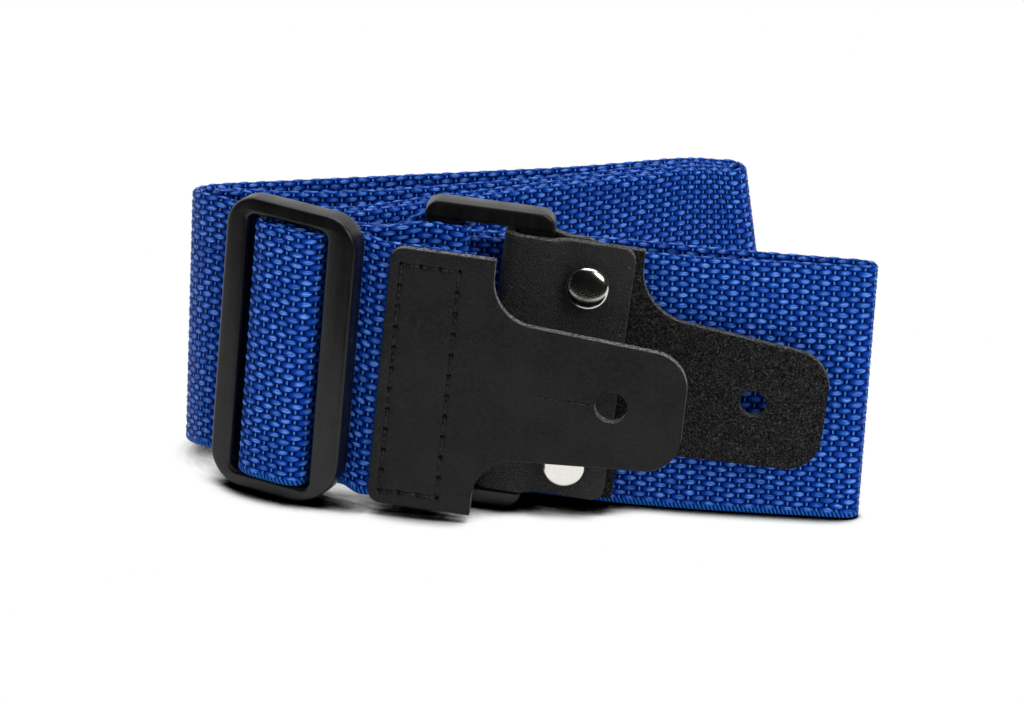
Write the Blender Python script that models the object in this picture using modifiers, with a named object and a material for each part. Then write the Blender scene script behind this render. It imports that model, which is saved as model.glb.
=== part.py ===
"""An instrument shoulder strap, folded up and standing on the edge of its webbing.

Frame: +X to the right along the front of the folded strap, +Y away from its front, +Z up.
The origin lies under the middle of the folded strap, on the surface that it stands on.
Local frames of the slider, the ring and the leather tabs: x along the strap, y towards the back, z up.
"""

import math

import bmesh
import bpy
from mathutils import Matrix, Vector

MM = 0.001

# Clearances
SEAT_GAP = 0.3 * MM  # between pieces that touch
STRAND_GAP = 0.5 * MM  # between strands of webbing that lie together
STANDING_GAP = 0.1 * MM  # under the slider and the ring
SIDE_CLEARANCE = 0.35 * MM  # between the webbing's edges and a window's ends

# Webbing
WEBBING_WIDTH = 50.8 * MM
WEBBING_THICKNESS = 1.7 * MM
BEND_STEP = math.radians(14)  # most that the webbing turns from one facet to the next
LONGEST_FACET = 14 * MM

# Slider with three bars
SLIDER_WIDTH = 27.0 * MM
SLIDER_THICKNESS = 4.2 * MM
SLIDER_LEFT_BAR = 4.4 * MM
SLIDER_RIGHT_BAR = 5.8 * MM
SLIDER_END_BAR = 3.2 * MM
SLIDER_CORNER = 6.0 * MM
SLIDER_WINDOW_CORNER = 1.6 * MM
SLIDER_EDGE = 0.8 * MM
MIDDLE_BAR_WIDTH = 4.4 * MM
MIDDLE_BAR_THICKNESS = 2.6 * MM
MIDDLE_BAR_EDGE = 0.9 * MM
BRIDGE_SHARE = 0.6  # share of a slot's spare room that lies inside the webbing over the middle bar
SLIDER_PLACE = (-42.0, 3.0)  # plan position of its middle
SLIDER_YAW = math.radians(25)
SLIDER_DROOP = math.radians(2.5)

# Ring
RING_WIDTH = 24.0 * MM
RING_SIDE_BAR = 6.5 * MM
RING_SIDE_THICKNESS = 3.4 * MM
RING_END_BAR = 3.5 * MM
RING_END_THICKNESS = 4.8 * MM
RING_END_PROUD = 0.25 * MM
RING_END_STEP = 0.2 * MM
RING_CORNER = 3.0 * MM
RING_WINDOW_CORNER = 1.0 * MM
RING_EDGE = 0.7 * MM
RING_PLACE = (-7.1, 5.0)
RING_YAW = math.radians(2)
RING_DROOP = math.radians(4.2)

# Leather
LEATHER_THICKNESS = 2.0 * MM
HEAD_CORNER = 2.6 * MM
TONGUE_ROOT_WIDTH = 26.6 * MM
TONGUE_TIP_WIDTH = 23.6 * MM
TONGUE_CORNER = 7.0 * MM
SHOULDER_FILLET = 8.5 * MM
BUTTON_HOLE = 6.2 * MM
ARC_STEP = math.radians(15)

# Front tab, sewn to the end of the webbing
FRONT_HEAD = 19.5 * MM
FRONT_LENGTH = 57.2 * MM
FRONT_HOLE_X = 43.6 * MM
SLIT_LENGTH = 11.0 * MM
SLIT_WIDTH = 0.4 * MM
WEBBING_UNDER_TAB = 15.5 * MM
FRONT_PLACE = (-24.2, -1.4)
FRONT_MIDDLE_Z = 28.0 * MM
FRONT_YAW = math.radians(6)
FRONT_DROOP = math.radians(3.0)

# Box stitch of the front tab
STITCH_MARGIN_X = 2.2 * MM
STITCH_BOX_WIDTH = 10.8 * MM
STITCH_MARGIN_TOP = 3.2 * MM
STITCH_MARGIN_BOTTOM = 2.6 * MM
THREAD = 0.6 * MM
GROOVE_DEPTH = 1.0 * MM

# Rear tab, folded round the ring and riveted
REAR_WIDTH = 49.8 * MM
REAR_DROP = 0.5 * MM  # how far it hangs below the middle of the ring
TONGUE_DROP = 0.9 * MM  # how far its tongue lies below its middle
FLAP_LENGTH = 19.0 * MM
REAR_HEAD = 20.5 * MM
REAR_LENGTH = 58.0 * MM
REAR_HOLE_X = 44.4 * MM
REAR_YAW = math.radians(3.5)  # from the ring
RIVET_X = 10.9 * MM
RIVET_SPACING = 35.6 * MM
RIVET_DROP = 1.8 * MM

# Rivets
RIVET_CAP = 8.3 * MM
RIVET_CAP_HEIGHT = 2.2 * MM
RIVET_RIM = 0.5 * MM
RIVET_FLANGE = 0.8 * MM
RIVET_STEM = 3.0 * MM
RIVET_GRIP = 1.1 * MM
TURN_STEPS = 24

# Sewn end of the webbing at the slider
SEWN_LENGTH = 12.0 * MM
TACK_LENGTH = 4.5 * MM
TACK_MARGIN = 6.0 * MM

# Plan of the folded strap, in steps of the plan
PLAN_STEP = 1.0 * MM
PLAN_ORIGIN = (2.782, 31.286)
BACK_FOLD = (44.8, 67.2)
BACK_FOLD_LEAN = math.radians(11)
BACK_FOLD_ANGLE = math.radians(18)
FRONT_FOLD = (65.0, 8.2)
FRONT_FOLD_RADIUS = 1.75


def remove_everything():
    for item in list(bpy.data.objects):
        bpy.data.objects.remove(item)


def new_collection(name):
    collection = bpy.data.collections.new(name)
    bpy.context.scene.collection.children.link(collection)
    return collection


def new_material(name, colour, roughness, metallic=0.0):
    material = bpy.data.materials.new(name)
    material.use_nodes = True
    shader = material.node_tree.nodes["Principled BSDF"]
    shader.inputs["Base Color"].default_value = (*colour, 1.0)
    shader.inputs["Roughness"].default_value = roughness
    shader.inputs["Metallic"].default_value = metallic
    return material


remove_everything()
PARTS = new_collection("instrument_strap")
CUTTERS = new_collection("cutters")

WEBBING_BLUE = new_material("webbing_blue", (0.012, 0.075, 0.42), 0.55)
LEATHER_BLACK = new_material("leather_black", (0.018, 0.018, 0.018), 0.6)
PLASTIC_BLACK = new_material("plastic_black", (0.022, 0.022, 0.023), 0.45)
RIVET_NICKEL = new_material("rivet_nickel", (0.62, 0.6, 0.57), 0.25, 1.0)
THREAD_BLACK = new_material("thread_black", (0.012, 0.012, 0.012), 0.7)


def plan(x, y):
    """A position in steps of the plan as metres from the origin."""
    return Vector((x - PLAN_ORIGIN[0], y - PLAN_ORIGIN[1], 0.0)) * PLAN_STEP


def standing_height(width, height, corner, droop):
    """How high the middle of a rounded frame lies when its lowest corner is on the surface."""
    upright = (height / 2 - corner) * math.cos(droop)
    across = (width / 2 - corner) * math.sin(droop)
    return upright + across + corner + STANDING_GAP


def local_frame(place, middle_z, yaw, droop):
    turn = Matrix.Rotation(-yaw, 4, "Z") @ Matrix.Rotation(droop, 4, "Y")
    return Matrix.Translation(plan(*place) + Vector((0, 0, middle_z))) @ turn


def new_empty(name, matrix, parent=None):
    empty = bpy.data.objects.new(name, None)
    PARTS.objects.link(empty)
    empty.parent = parent
    empty.matrix_local = matrix
    return empty


# Sizes that follow from the ones above
WINDOW_HEIGHT = WEBBING_WIDTH + 2 * SIDE_CLEARANCE
SLIDER_HEIGHT = WINDOW_HEIGHT + 2 * SLIDER_END_BAR
RING_HEIGHT = WINDOW_HEIGHT + 2 * RING_END_BAR
RING_FULL_WIDTH = RING_WIDTH + 2 * RING_END_PROUD
RING_FULL_HEIGHT = RING_HEIGHT + 2 * RING_END_PROUD
STRAND_PITCH = WEBBING_THICKNESS + STRAND_GAP
RING_AXIS = RING_WIDTH / 2 - RING_SIDE_BAR / 2
LAYER_OFFSET = LEATHER_THICKNESS / 2 + SEAT_GAP / 2
RIVET_SEAT = LAYER_OFFSET + LEATHER_THICKNESS / 2 + SEAT_GAP
STEM_HOLE = RIVET_STEM + 2 * SEAT_GAP

SLIDER_MATRIX = local_frame(
    SLIDER_PLACE,
    standing_height(SLIDER_WIDTH, SLIDER_HEIGHT, SLIDER_CORNER, SLIDER_DROOP),
    SLIDER_YAW,
    SLIDER_DROOP,
)
RING_MATRIX = local_frame(
    RING_PLACE,
    standing_height(RING_FULL_WIDTH, RING_FULL_HEIGHT, RING_CORNER, RING_DROOP),
    RING_YAW,
    RING_DROOP,
)
FRONT_MATRIX = local_frame(FRONT_PLACE, FRONT_MIDDLE_Z, FRONT_YAW, FRONT_DROOP)
REAR_MATRIX = Matrix.Translation((RING_AXIS, 0, 0)) @ Matrix.Rotation(-REAR_YAW, 4, "Z")

SLIDER_FRAME = new_empty("slider_frame", SLIDER_MATRIX)
RING_HINGE = new_empty("ring_hinge", RING_MATRIX @ Matrix.Translation((-RING_AXIS, 0, 0)))
RING_FRAME = new_empty("ring_frame", Matrix.Translation((RING_AXIS, 0, 0)), RING_HINGE)
REAR_HINGE = new_empty("rear_tab_hinge", REAR_MATRIX, RING_FRAME)
FRONT_HINGE = new_empty("front_tab_hinge", FRONT_MATRIX)


def add_part(name, data, material, parent=None):
    part = bpy.data.objects.new(name, data)
    data.materials.append(material)
    PARTS.objects.link(part)
    part.parent = parent
    return part


def add_cutter(name, mesh, parent=None):
    cutter = bpy.data.objects.new(name, mesh)
    CUTTERS.objects.link(cutter)
    cutter.parent = parent
    cutter.hide_render = True
    cutter.display_type = "WIRE"
    return cutter


def boolean(part, tool, operation):
    modifier = part.modifiers.new(f"{operation.lower()}_{tool.name}", "BOOLEAN")
    modifier.operation = operation
    modifier.solver = "EXACT"
    modifier.object = tool


def mesh_of_curve(curve):
    """The mesh of a curve with its caps welded, for a piece that is cut or joined."""
    holder = bpy.data.objects.new("holder", curve)
    bpy.context.scene.collection.objects.link(holder)
    graph = bpy.context.evaluated_depsgraph_get()
    mesh = bpy.data.meshes.new_from_object(holder.evaluated_get(graph))
    bpy.data.objects.remove(holder)
    shape = bmesh.new()
    shape.from_mesh(mesh)
    bmesh.ops.remove_doubles(shape, verts=shape.verts, dist=0.01 * MM)
    bmesh.ops.recalc_face_normals(shape, faces=shape.faces)
    shape.to_mesh(mesh)
    shape.free()
    return mesh


def outline_curve(name, outlines, thickness, edge=0.0):
    """A flat plate in the x-y plane of a curve, from closed outlines, with rounded edges."""
    curve = bpy.data.curves.new(name, "CURVE")
    curve.dimensions = "2D"
    curve.fill_mode = "BOTH"
    curve.extrude = thickness / 2 - edge
    curve.bevel_depth = edge
    curve.offset = -edge
    curve.bevel_resolution = 1
    for points in outlines:
        spline = curve.splines.new("POLY")
        spline.points.add(len(points) - 1)
        for point, (x, z) in zip(spline.points, points):
            point.co = (x, z, 0, 1)
        spline.use_cyclic_u = True
    return curve


UPRIGHT = Matrix.Rotation(math.radians(90), 4, "X")  # an outline's y becomes z


def plate_mesh(name, outlines, thickness, middle_y=0.0, edge=0.0):
    """An upright plate whose outlines are given as (x, z) points."""
    mesh = mesh_of_curve(outline_curve(name, outlines, thickness, edge))
    mesh.transform(Matrix.Translation((0, middle_y, 0)) @ UPRIGHT)
    return mesh


def arc(centre, radius, start, end):
    """Points of an arc, with angles in degrees."""
    start, end = math.radians(start), math.radians(end)
    steps = max(2, math.ceil(abs(end - start) / ARC_STEP))
    angles = [start + (end - start) * i / steps for i in range(steps + 1)]
    return [(centre[0] + radius * math.cos(a), centre[1] + radius * math.sin(a)) for a in angles]


def rounded_rectangle(left, right, bottom, top, radius):
    return (
        arc((right - radius, bottom + radius), radius, -90, 0)
        + arc((right - radius, top - radius), radius, 0, 90)
        + arc((left + radius, top - radius), radius, 90, 180)
        + arc((left + radius, bottom + radius), radius, 180, 270)
    )


def box_mesh(name, size, centre, edge=0.0):
    mesh = bpy.data.meshes.new(name)
    shape = bmesh.new()
    bmesh.ops.create_cube(shape, size=1.0)
    bmesh.ops.scale(shape, vec=size, verts=shape.verts)
    bmesh.ops.translate(shape, vec=centre, verts=shape.verts)
    if edge:
        bmesh.ops.bevel(shape, geom=shape.edges[:], offset=edge, segments=2, profile=0.5, affect="EDGES")
    shape.to_mesh(mesh)
    shape.free()
    return mesh


def bore_mesh(name, diameter, length, centre):
    """A cutter along y."""
    mesh = bpy.data.meshes.new(name)
    shape = bmesh.new()
    bmesh.ops.create_cone(
        shape,
        cap_ends=True,
        segments=TURN_STEPS,
        radius1=diameter / 2,
        radius2=diameter / 2,
        depth=length,
        matrix=Matrix.Translation(centre) @ UPRIGHT,
    )
    shape.to_mesh(mesh)
    shape.free()
    return mesh


# Smooth routes


def smooth(points, facet_turn=BEND_STEP, longest=LONGEST_FACET, samples=24):
    """Points on a smooth curve through the given ones, close together only where it bends.

    Each point is a tuple of vectors, of which the first is the place on the route.
    """
    ends = [tuple(2 * a - b for a, b in zip(points[0], points[1]))]
    ends += points
    ends.append(tuple(2 * a - b for a, b in zip(points[-1], points[-2])))
    fine = []
    for before, start, end, after in zip(ends, ends[1:], ends[2:], ends[3:]):
        knots = [0.0]
        for a, b in ((before, start), (start, end), (end, after)):
            knots.append(knots[-1] + math.sqrt((b[0] - a[0]).length))
        for i in range(samples):
            t = knots[1] + (knots[2] - knots[1]) * i / samples
            fine.append(tuple(catmull_rom(values, knots, t) for values in zip(before, start, end, after)))
    fine.append(points[-1])
    kept = [fine[0]]
    for i in range(1, len(fine) - 1):
        ahead = (fine[i + 1][0] - fine[i][0]).normalized()
        behind = (fine[i][0] - kept[-1][0]).normalized()
        far = (fine[i][0] - kept[-1][0]).length > longest
        if far or behind.angle(ahead) > facet_turn / 2:
            kept.append(fine[i])
    kept.append(fine[-1])
    return kept


def catmull_rom(values, knots, t):
    p0, p1, p2, p3 = values
    k0, k1, k2, k3 = knots
    a1 = p0 * ((k1 - t) / (k1 - k0)) + p1 * ((t - k0) / (k1 - k0))
    a2 = p1 * ((k2 - t) / (k2 - k1)) + p2 * ((t - k1) / (k2 - k1))
    a3 = p2 * ((k3 - t) / (k3 - k2)) + p3 * ((t - k2) / (k3 - k2))
    b1 = a1 * ((k2 - t) / (k2 - k0)) + a2 * ((t - k0) / (k2 - k0))
    b2 = a2 * ((k3 - t) / (k3 - k1)) + a3 * ((t - k1) / (k3 - k1))
    return b1 * ((k2 - t) / (k2 - k1)) + b2 * ((t - k1) / (k2 - k1))


def strip_mesh(name, rows):
    """An open surface between the lower and upper point of each row."""
    mesh = bpy.data.meshes.new(name)
    shape = bmesh.new()
    made = [(shape.verts.new(low), shape.verts.new(high)) for low, high in rows]
    for (a, b), (c, d) in zip(made, made[1:]):
        shape.faces.new((a, c, d, b))
    shape.to_mesh(mesh)
    shape.free()
    return mesh


def thicken(part, thickness):
    modifier = part.modifiers.new("thickness", "SOLIDIFY")
    modifier.thickness = thickness
    modifier.offset = 0
    modifier.use_even_offset = True


# Webbing

UP = Vector((0, 0, 1))
ROUTES = {}


def free(x, y, lift=0.0, up=UP):
    """A place on the route where nothing but the surface holds the webbing, in steps of the plan."""
    return plan(x, y) + Vector((0, 0, lift * PLAN_STEP + up.z * WEBBING_WIDTH / 2)), up.copy()


def held(matrix, x, y):
    """A place on the route that a frame holds, in metres of that frame."""
    return matrix @ Vector((x, y, 0)), (matrix.to_3x3() @ UP).normalized()


def add_webbing(name, stations, parent=None):
    """A stretch of webbing through stations given in the world or in its parent's frame."""
    route = smooth(stations)
    half = WEBBING_WIDTH / 2
    rows = [(place - up.normalized() * half, place + up.normalized() * half) for place, up in route]
    part = add_part(name, strip_mesh(name, rows), WEBBING_BLUE, parent)
    thicken(part, WEBBING_THICKNESS)
    ROUTES[name] = route, parent
    return part


def local(points):
    return [(Vector((x, y, 0)), UP.copy()) for x, y in points]


def fold(centre, radius, start, end, lift=0.0, steps=6, up=UP):
    """Stations on a fold about a plan centre, with the radius in steps and angles in degrees."""
    stations = []
    for i in range(steps + 1):
        angle = math.radians(start + (end - start) * i / steps)
        x = centre[0] + radius * math.cos(angle)
        y = centre[1] + radius * math.sin(angle)
        stations.append(free(x, y, lift, up))
    return stations


# Places in the slider, measured from its middle bar
BAR_X = (SLIDER_LEFT_BAR - SLIDER_RIGHT_BAR) / 2
MIDDLE_TO_LEFT_BAR = SLIDER_WIDTH / 2 - SLIDER_LEFT_BAR + BAR_X
MIDDLE_TO_RIGHT_BAR = SLIDER_WIDTH / 2 - SLIDER_RIGHT_BAR - BAR_X
BAR_BACK = SLIDER_THICKNESS / 2
BAR_FRONT = BAR_BACK - MIDDLE_BAR_THICKNESS
PASS_Y = SLIDER_THICKNESS / 2 + STRAND_GAP + WEBBING_THICKNESS / 2
LOOP_FRONT = BAR_FRONT - SEAT_GAP - WEBBING_THICKNESS / 2
LOOP_BACK = BAR_BACK + SEAT_GAP + WEBBING_THICKNESS / 2
LOOP_SIDE = MIDDLE_BAR_WIDTH / 2 + SEAT_GAP + WEBBING_THICKNESS / 2
BRIDGE_FRONT = LOOP_FRONT - STRAND_PITCH
SLOT_SPARE = MIDDLE_TO_RIGHT_BAR - LOOP_SIDE - 1.5 * WEBBING_THICKNESS
BRIDGE_SIDE = LOOP_SIDE + WEBBING_THICKNESS + BRIDGE_SHARE * SLOT_SPARE
SEWN_Y = PASS_Y + WEBBING_THICKNESS + THREAD + 2 * SEAT_GAP
INNER_Y = SEWN_Y + WEBBING_THICKNESS + 2 * SEAT_GAP
PASS_LEFT = BAR_X - MIDDLE_TO_LEFT_BAR - SEAT_GAP
PASS_RIGHT = BAR_X + MIDDLE_TO_RIGHT_BAR + SEAT_GAP
SEWN_X = BAR_X - BRIDGE_SIDE - SEWN_LENGTH / 2

# Places in the ring, measured from its left bar
WRAP_Y = RING_SIDE_THICKNESS / 2 + STRAND_GAP + WEBBING_THICKNESS / 2
WRAP_X = RING_SIDE_BAR / 2 + STRAND_GAP + WEBBING_THICKNESS / 2


def back_fold(strands):
    """The rear right fold of a strand that lies this many pitches from the middle of the four."""
    turn = math.degrees(BACK_FOLD_ANGLE)
    away = Vector((math.cos(BACK_FOLD_ANGLE), math.sin(BACK_FOLD_ANGLE), 0))
    up = UP * math.cos(BACK_FOLD_LEAN) - away * math.sin(BACK_FOLD_LEAN)
    return fold(BACK_FOLD, strands * STRAND_PITCH / PLAN_STEP, turn + 90, turn - 90, 0.5, 8, up)


def back_leg(strands, away):
    """A station of a strand this many pitches behind the middle of the four, in steps from their fold."""
    across = strands * STRAND_PITCH / PLAN_STEP
    cos, sin = math.cos(BACK_FOLD_ANGLE), math.sin(BACK_FOLD_ANGLE)
    return free(BACK_FOLD[0] - away * cos - across * sin, BACK_FOLD[1] - away * sin + across * cos, 0.2)


def outer_run():
    """From the slider's left slot round the left fold and along the back, and back again."""
    return [
        held(SLIDER_MATRIX, PASS_LEFT, PASS_Y),
        held(SLIDER_MATRIX, PASS_LEFT - 4 * MM, PASS_Y),
        held(SLIDER_MATRIX, PASS_LEFT - 8.5 * MM, PASS_Y),
        free(-59.6, 17.0, 4.0),
        free(-61.2, 21.5, 3.2),
        free(-60.4, 27.0, 2.2),
        free(-56.8, 32.2, 1.2),
        free(-50.5, 36.4, 0.5),
        free(-41.0, 40.6, 0.15),
        free(-23.6, 46.6, 0.05),
        free(-6.0, 52.4, 0.05),
        free(10.0, 57.8, 0.05),
        back_leg(1.65, 14),
        *back_fold(1.62),
        back_leg(-1.65, 14),
        free(16.0, 50.6, 0.05),
        free(-1.0, 41.0, 0.05),
        free(-17.0, 31.6, 0.05),
        free(-29.0, 24.2, 0.05),
    ]


def slack_loop():
    """The loose loop that lies along the front, from the inner left fold to the front right fold."""
    return [
        free(-29.5, 23.7),
        *fold((-32.5, 19.6), 2.9, 135, 255, steps=5),
        free(-25.0, 16.3),
        free(-6.3, 15.4),
        free(8.0, 15.6),
        free(23.0, 14.6),
        free(36.0, 12.6),
        free(53.0, 11.0),
        *fold(FRONT_FOLD, FRONT_FOLD_RADIUS, 90, -90, steps=8),
        free(52.0, 6.6),
        free(34.0, 7.0),
        free(21.0, 8.2),
        free(8.0, 10.4),
        free(-6.0, 12.2),
        free(-17.0, 12.6),
    ]


def ring_loop():
    """Round the ring's left bar and back."""
    matrix = RING_MATRIX @ Matrix.Translation((-RING_AXIS, 0, 0))
    bend = RING_EDGE + STRAND_GAP + WEBBING_THICKNESS / 2
    centre = (WRAP_X - bend, WRAP_Y - bend)
    around = arc(centre, bend, 90, 0) + arc((centre[0], -centre[1]), bend, 0, -90)
    return [
        free(-17.6, 12.6),
        free(-24.0, 12.5, 1.0),
        free(-26.4, 11.2, 1.5),
        free(-25.8, 9.4, 2.0),
        free(-23.2, 8.7, 2.5),
        held(matrix, -RING_SIDE_BAR / 2, WRAP_Y),
        *[held(matrix, x, y) for x, y in around],
        held(matrix, -RING_SIDE_BAR / 2, -WRAP_Y),
        free(-25.0, 2.6, 4.2),
        free(-29.0, 3.6, 3.8),
    ]


def inner_run():
    """From the ring round the inner left fold, along the back and round the rear right fold."""
    return [
        free(-29.6, 3.9, 3.8),
        free(-35.0, 8.0, 3.0),
        free(-40.0, 13.6, 2.0),
        free(-41.6, 18.6, 1.2),
        free(-40.4, 22.8, 0.6),
        free(-36.0, 24.4, 0.2),
        free(-29.8, 26.8, 0.05),
        free(-18.2, 33.8, 0.05),
        free(-2.2, 43.2, 0.05),
        free(14.8, 52.8, 0.05),
        back_leg(-0.58, 14),
        *reversed(back_fold(0.58)),
        back_leg(0.58, 14),
        free(8.0, 52.0, 0.05),
        free(-8.0, 44.8, 0.05),
        free(-23.2, 38.2, 0.05),
        free(-36.0, 33.8, 0.15),
        free(-46.0, 31.6, 0.4),
    ]


def inner_turn():
    """The inner left fold, which gives way when the slider moves."""
    return [
        free(-46.6, 31.5, 0.5),
        free(-53.2, 29.0, 1.4),
        free(-56.8, 25.0, 2.6),
        free(-57.0, 20.6, 3.6),
        held(SLIDER_MATRIX, SEWN_X - 3 * MM, INNER_Y + 0.6 * MM),
        held(SLIDER_MATRIX, SEWN_X - STRAND_GAP, INNER_Y),
    ]


def bridge():
    """Over the slider's middle bar, from the back of one slot to the back of the other."""
    rise = [
        (BRIDGE_SIDE, SLIDER_THICKNESS / 2),
        (BRIDGE_SIDE, -0.1 * MM),
        (BRIDGE_SIDE - 0.8 * MM, LOOP_FRONT - 0.7 * MM),
        (BRIDGE_SIDE - 3.0 * MM, BRIDGE_FRONT + 0.05 * MM),
    ]
    left = [(BAR_X - x, y) for x, y in rise]
    right = [(BAR_X + x, y) for x, y in reversed(rise)]
    return local(left + [(BAR_X, BRIDGE_FRONT - 0.1 * MM)] + right)


def anchor():
    """The sewn end, round the slider's middle bar and back on itself."""
    bend = MIDDLE_BAR_EDGE + SEAT_GAP + WEBBING_THICKNESS / 2
    side = LOOP_SIDE - bend
    back, front = LOOP_BACK - bend, LOOP_FRONT + bend
    return local(
        [
            (SEWN_X, INNER_Y),
            (BAR_X - BRIDGE_SIDE - 0.6 * MM, INNER_Y - 0.1 * MM),
            (BAR_X - BRIDGE_SIDE + 2.8 * MM, INNER_Y - 1.4 * MM),
            (BAR_X - BRIDGE_SIDE + 5.3 * MM, INNER_Y - 3.9 * MM),
            *arc((BAR_X + side, back), bend, 105, 0),
            *arc((BAR_X + side, front), bend, 0, -90),
            *arc((BAR_X - side, front), bend, -90, -180),
            (BAR_X - LOOP_SIDE - 0.2 * MM, BAR_BACK - 0.3 * MM),
            (BAR_X - LOOP_SIDE - 0.65 * MM, PASS_Y - 0.1 * MM),
            (BAR_X - LOOP_SIDE - 1.65 * MM, SEWN_Y - 1.1 * MM),
            (BAR_X - BRIDGE_SIDE - 0.6 * MM, SEWN_Y - 0.05 * MM),
            (SEWN_X, SEWN_Y),
        ]
    )


def lead():
    """From the slider's right slot to the edge of the front tab."""
    return [
        held(SLIDER_MATRIX, PASS_RIGHT, PASS_Y),
        held(SLIDER_MATRIX, PASS_RIGHT + SLIDER_RIGHT_BAR / 2, PASS_Y),
        held(SLIDER_MATRIX, SLIDER_WIDTH / 2 - 1.0 * MM, PASS_Y),
        held(FRONT_MATRIX, -STRAND_GAP, 0),
    ]


def add_all_webbing():
    add_webbing("webbing_outer_run", outer_run())
    add_webbing("webbing_slack_loop", slack_loop())
    add_webbing("webbing_ring_loop", ring_loop())
    add_webbing("webbing_inner_run", inner_run())
    add_webbing("webbing_inner_turn", inner_turn())
    add_webbing("webbing_lead", lead())
    add_webbing("webbing_bridge", bridge(), SLIDER_FRAME)
    add_webbing("webbing_anchor", anchor(), SLIDER_FRAME)
    add_webbing("webbing_tail", local([(0, 0), (WEBBING_UNDER_TAB, 0)]), FRONT_HINGE)


# Slider


def add_slider():
    left, right = -SLIDER_WIDTH / 2, SLIDER_WIDTH / 2
    outer = rounded_rectangle(left, right, -SLIDER_HEIGHT / 2, SLIDER_HEIGHT / 2, SLIDER_CORNER)
    window = rounded_rectangle(
        left + SLIDER_LEFT_BAR,
        right - SLIDER_RIGHT_BAR,
        -WINDOW_HEIGHT / 2,
        WINDOW_HEIGHT / 2,
        SLIDER_WINDOW_CORNER,
    )
    mesh = plate_mesh("slider", [outer, window[::-1]], SLIDER_THICKNESS, edge=SLIDER_EDGE)
    slider = add_part("slider", mesh, PLASTIC_BLACK, SLIDER_FRAME)
    seat = SLIDER_END_BAR / 2
    size = (MIDDLE_BAR_WIDTH, MIDDLE_BAR_THICKNESS, WINDOW_HEIGHT + 2 * seat)
    centre = (BAR_X, (BAR_FRONT + BAR_BACK) / 2, 0)
    bar = add_cutter("middle_bar", box_mesh("middle_bar", size, centre, MIDDLE_BAR_EDGE), SLIDER_FRAME)
    boolean(slider, bar, "UNION")


# Ring


def end_bar_outline(side):
    """The outline of the ring's upper (side 1) or lower (side -1) bar."""
    half = RING_WIDTH / 2 + RING_END_PROUD
    top = RING_HEIGHT / 2 + RING_END_PROUD
    low = WINDOW_HEIGHT / 2 + RING_END_STEP
    points = [(-half, low), (half, low)]
    points += arc((half - RING_CORNER, top - RING_CORNER), RING_CORNER, 0, 90)
    points += arc((-half + RING_CORNER, top - RING_CORNER), RING_CORNER, 90, 180)
    return [(side * x, side * z) for x, z in points]


def add_ring():
    left, right = -RING_WIDTH / 2, RING_WIDTH / 2
    top = RING_HEIGHT / 2
    outer = rounded_rectangle(left, right, -top, top, RING_CORNER)
    window = rounded_rectangle(
        left + RING_SIDE_BAR,
        right - RING_SIDE_BAR,
        -WINDOW_HEIGHT / 2,
        WINDOW_HEIGHT / 2,
        RING_WINDOW_CORNER,
    )
    mesh = plate_mesh("ring", [outer, window[::-1]], RING_SIDE_THICKNESS, edge=RING_EDGE)
    ring = add_part("ring", mesh, PLASTIC_BLACK, RING_FRAME)
    bars = bmesh.new()
    for side, name in ((1, "upper_end_bar"), (-1, "lower_end_bar")):
        bars.from_mesh(plate_mesh(name, [end_bar_outline(side)], RING_END_THICKNESS, edge=RING_EDGE))
    both = bpy.data.meshes.new("end_bars")
    bars.to_mesh(both)
    bars.free()
    boolean(ring, add_cutter("end_bars", both, RING_FRAME), "UNION")


# Leather tabs


def tongue_half_width(x, head, length):
    """Half the width of a tab behind its head, with a hollow fillet and a rounded tip."""
    root, tip = TONGUE_ROOT_WIDTH / 2, TONGUE_TIP_WIDTH / 2
    start = head + SHOULDER_FILLET
    share = min(1.0, max(0.0, (x - start) / (length - TONGUE_CORNER - start)))
    half = root + (tip - root) * share
    if x < start:
        rest = start - x
        half += SHOULDER_FILLET - math.sqrt(max(0.0, SHOULDER_FILLET**2 - rest**2))
    over = x - (length - TONGUE_CORNER)
    if over > 0:
        half -= TONGUE_CORNER - math.sqrt(max(0.0, TONGUE_CORNER**2 - over**2))
    return half


def tongue_places(head, length):
    """Where the tongue's outline needs points: along the fillet and round the tip."""
    quarter = [math.radians(90) * i / 6 for i in range(7)]
    fillet = [head + SHOULDER_FILLET * (1 - math.cos(a)) for a in quarter]
    tip = [length - TONGUE_CORNER * (1 - math.sin(a)) for a in quarter]
    return fillet + tip


def key_hole(x, diameter):
    """The button hole with its slit towards the head."""
    radius = diameter / 2
    opening = math.degrees(math.asin(SLIT_WIDTH / 2 / radius))
    slit_end = x - radius - SLIT_LENGTH
    round_part = arc((x, 0), radius, 180 - opening, -180 + opening)
    return round_part + [(slit_end, -SLIT_WIDTH / 2), (slit_end, SLIT_WIDTH / 2)]


def front_outline():
    half = WEBBING_WIDTH / 2
    places = tongue_places(FRONT_HEAD, FRONT_LENGTH)
    upper = [(x, tongue_half_width(x, FRONT_HEAD, FRONT_LENGTH)) for x in places]
    lower = [(x, -z) for x, z in reversed(upper)]
    return (
        arc((HEAD_CORNER, half - HEAD_CORNER), HEAD_CORNER, 180, 90)
        + [(FRONT_HEAD, half)]
        + upper
        + lower
        + [(FRONT_HEAD, -half)]
        + arc((HEAD_CORNER, -half + HEAD_CORNER), HEAD_CORNER, 270, 180)
    )


def stitch_box(inset):
    half = WEBBING_WIDTH / 2
    return rounded_rectangle(
        STITCH_MARGIN_X + inset,
        STITCH_MARGIN_X + STITCH_BOX_WIDTH - inset,
        -half + STITCH_MARGIN_BOTTOM + inset,
        half - STITCH_MARGIN_TOP - inset,
        THREAD + SEAT_GAP,
    )


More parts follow.
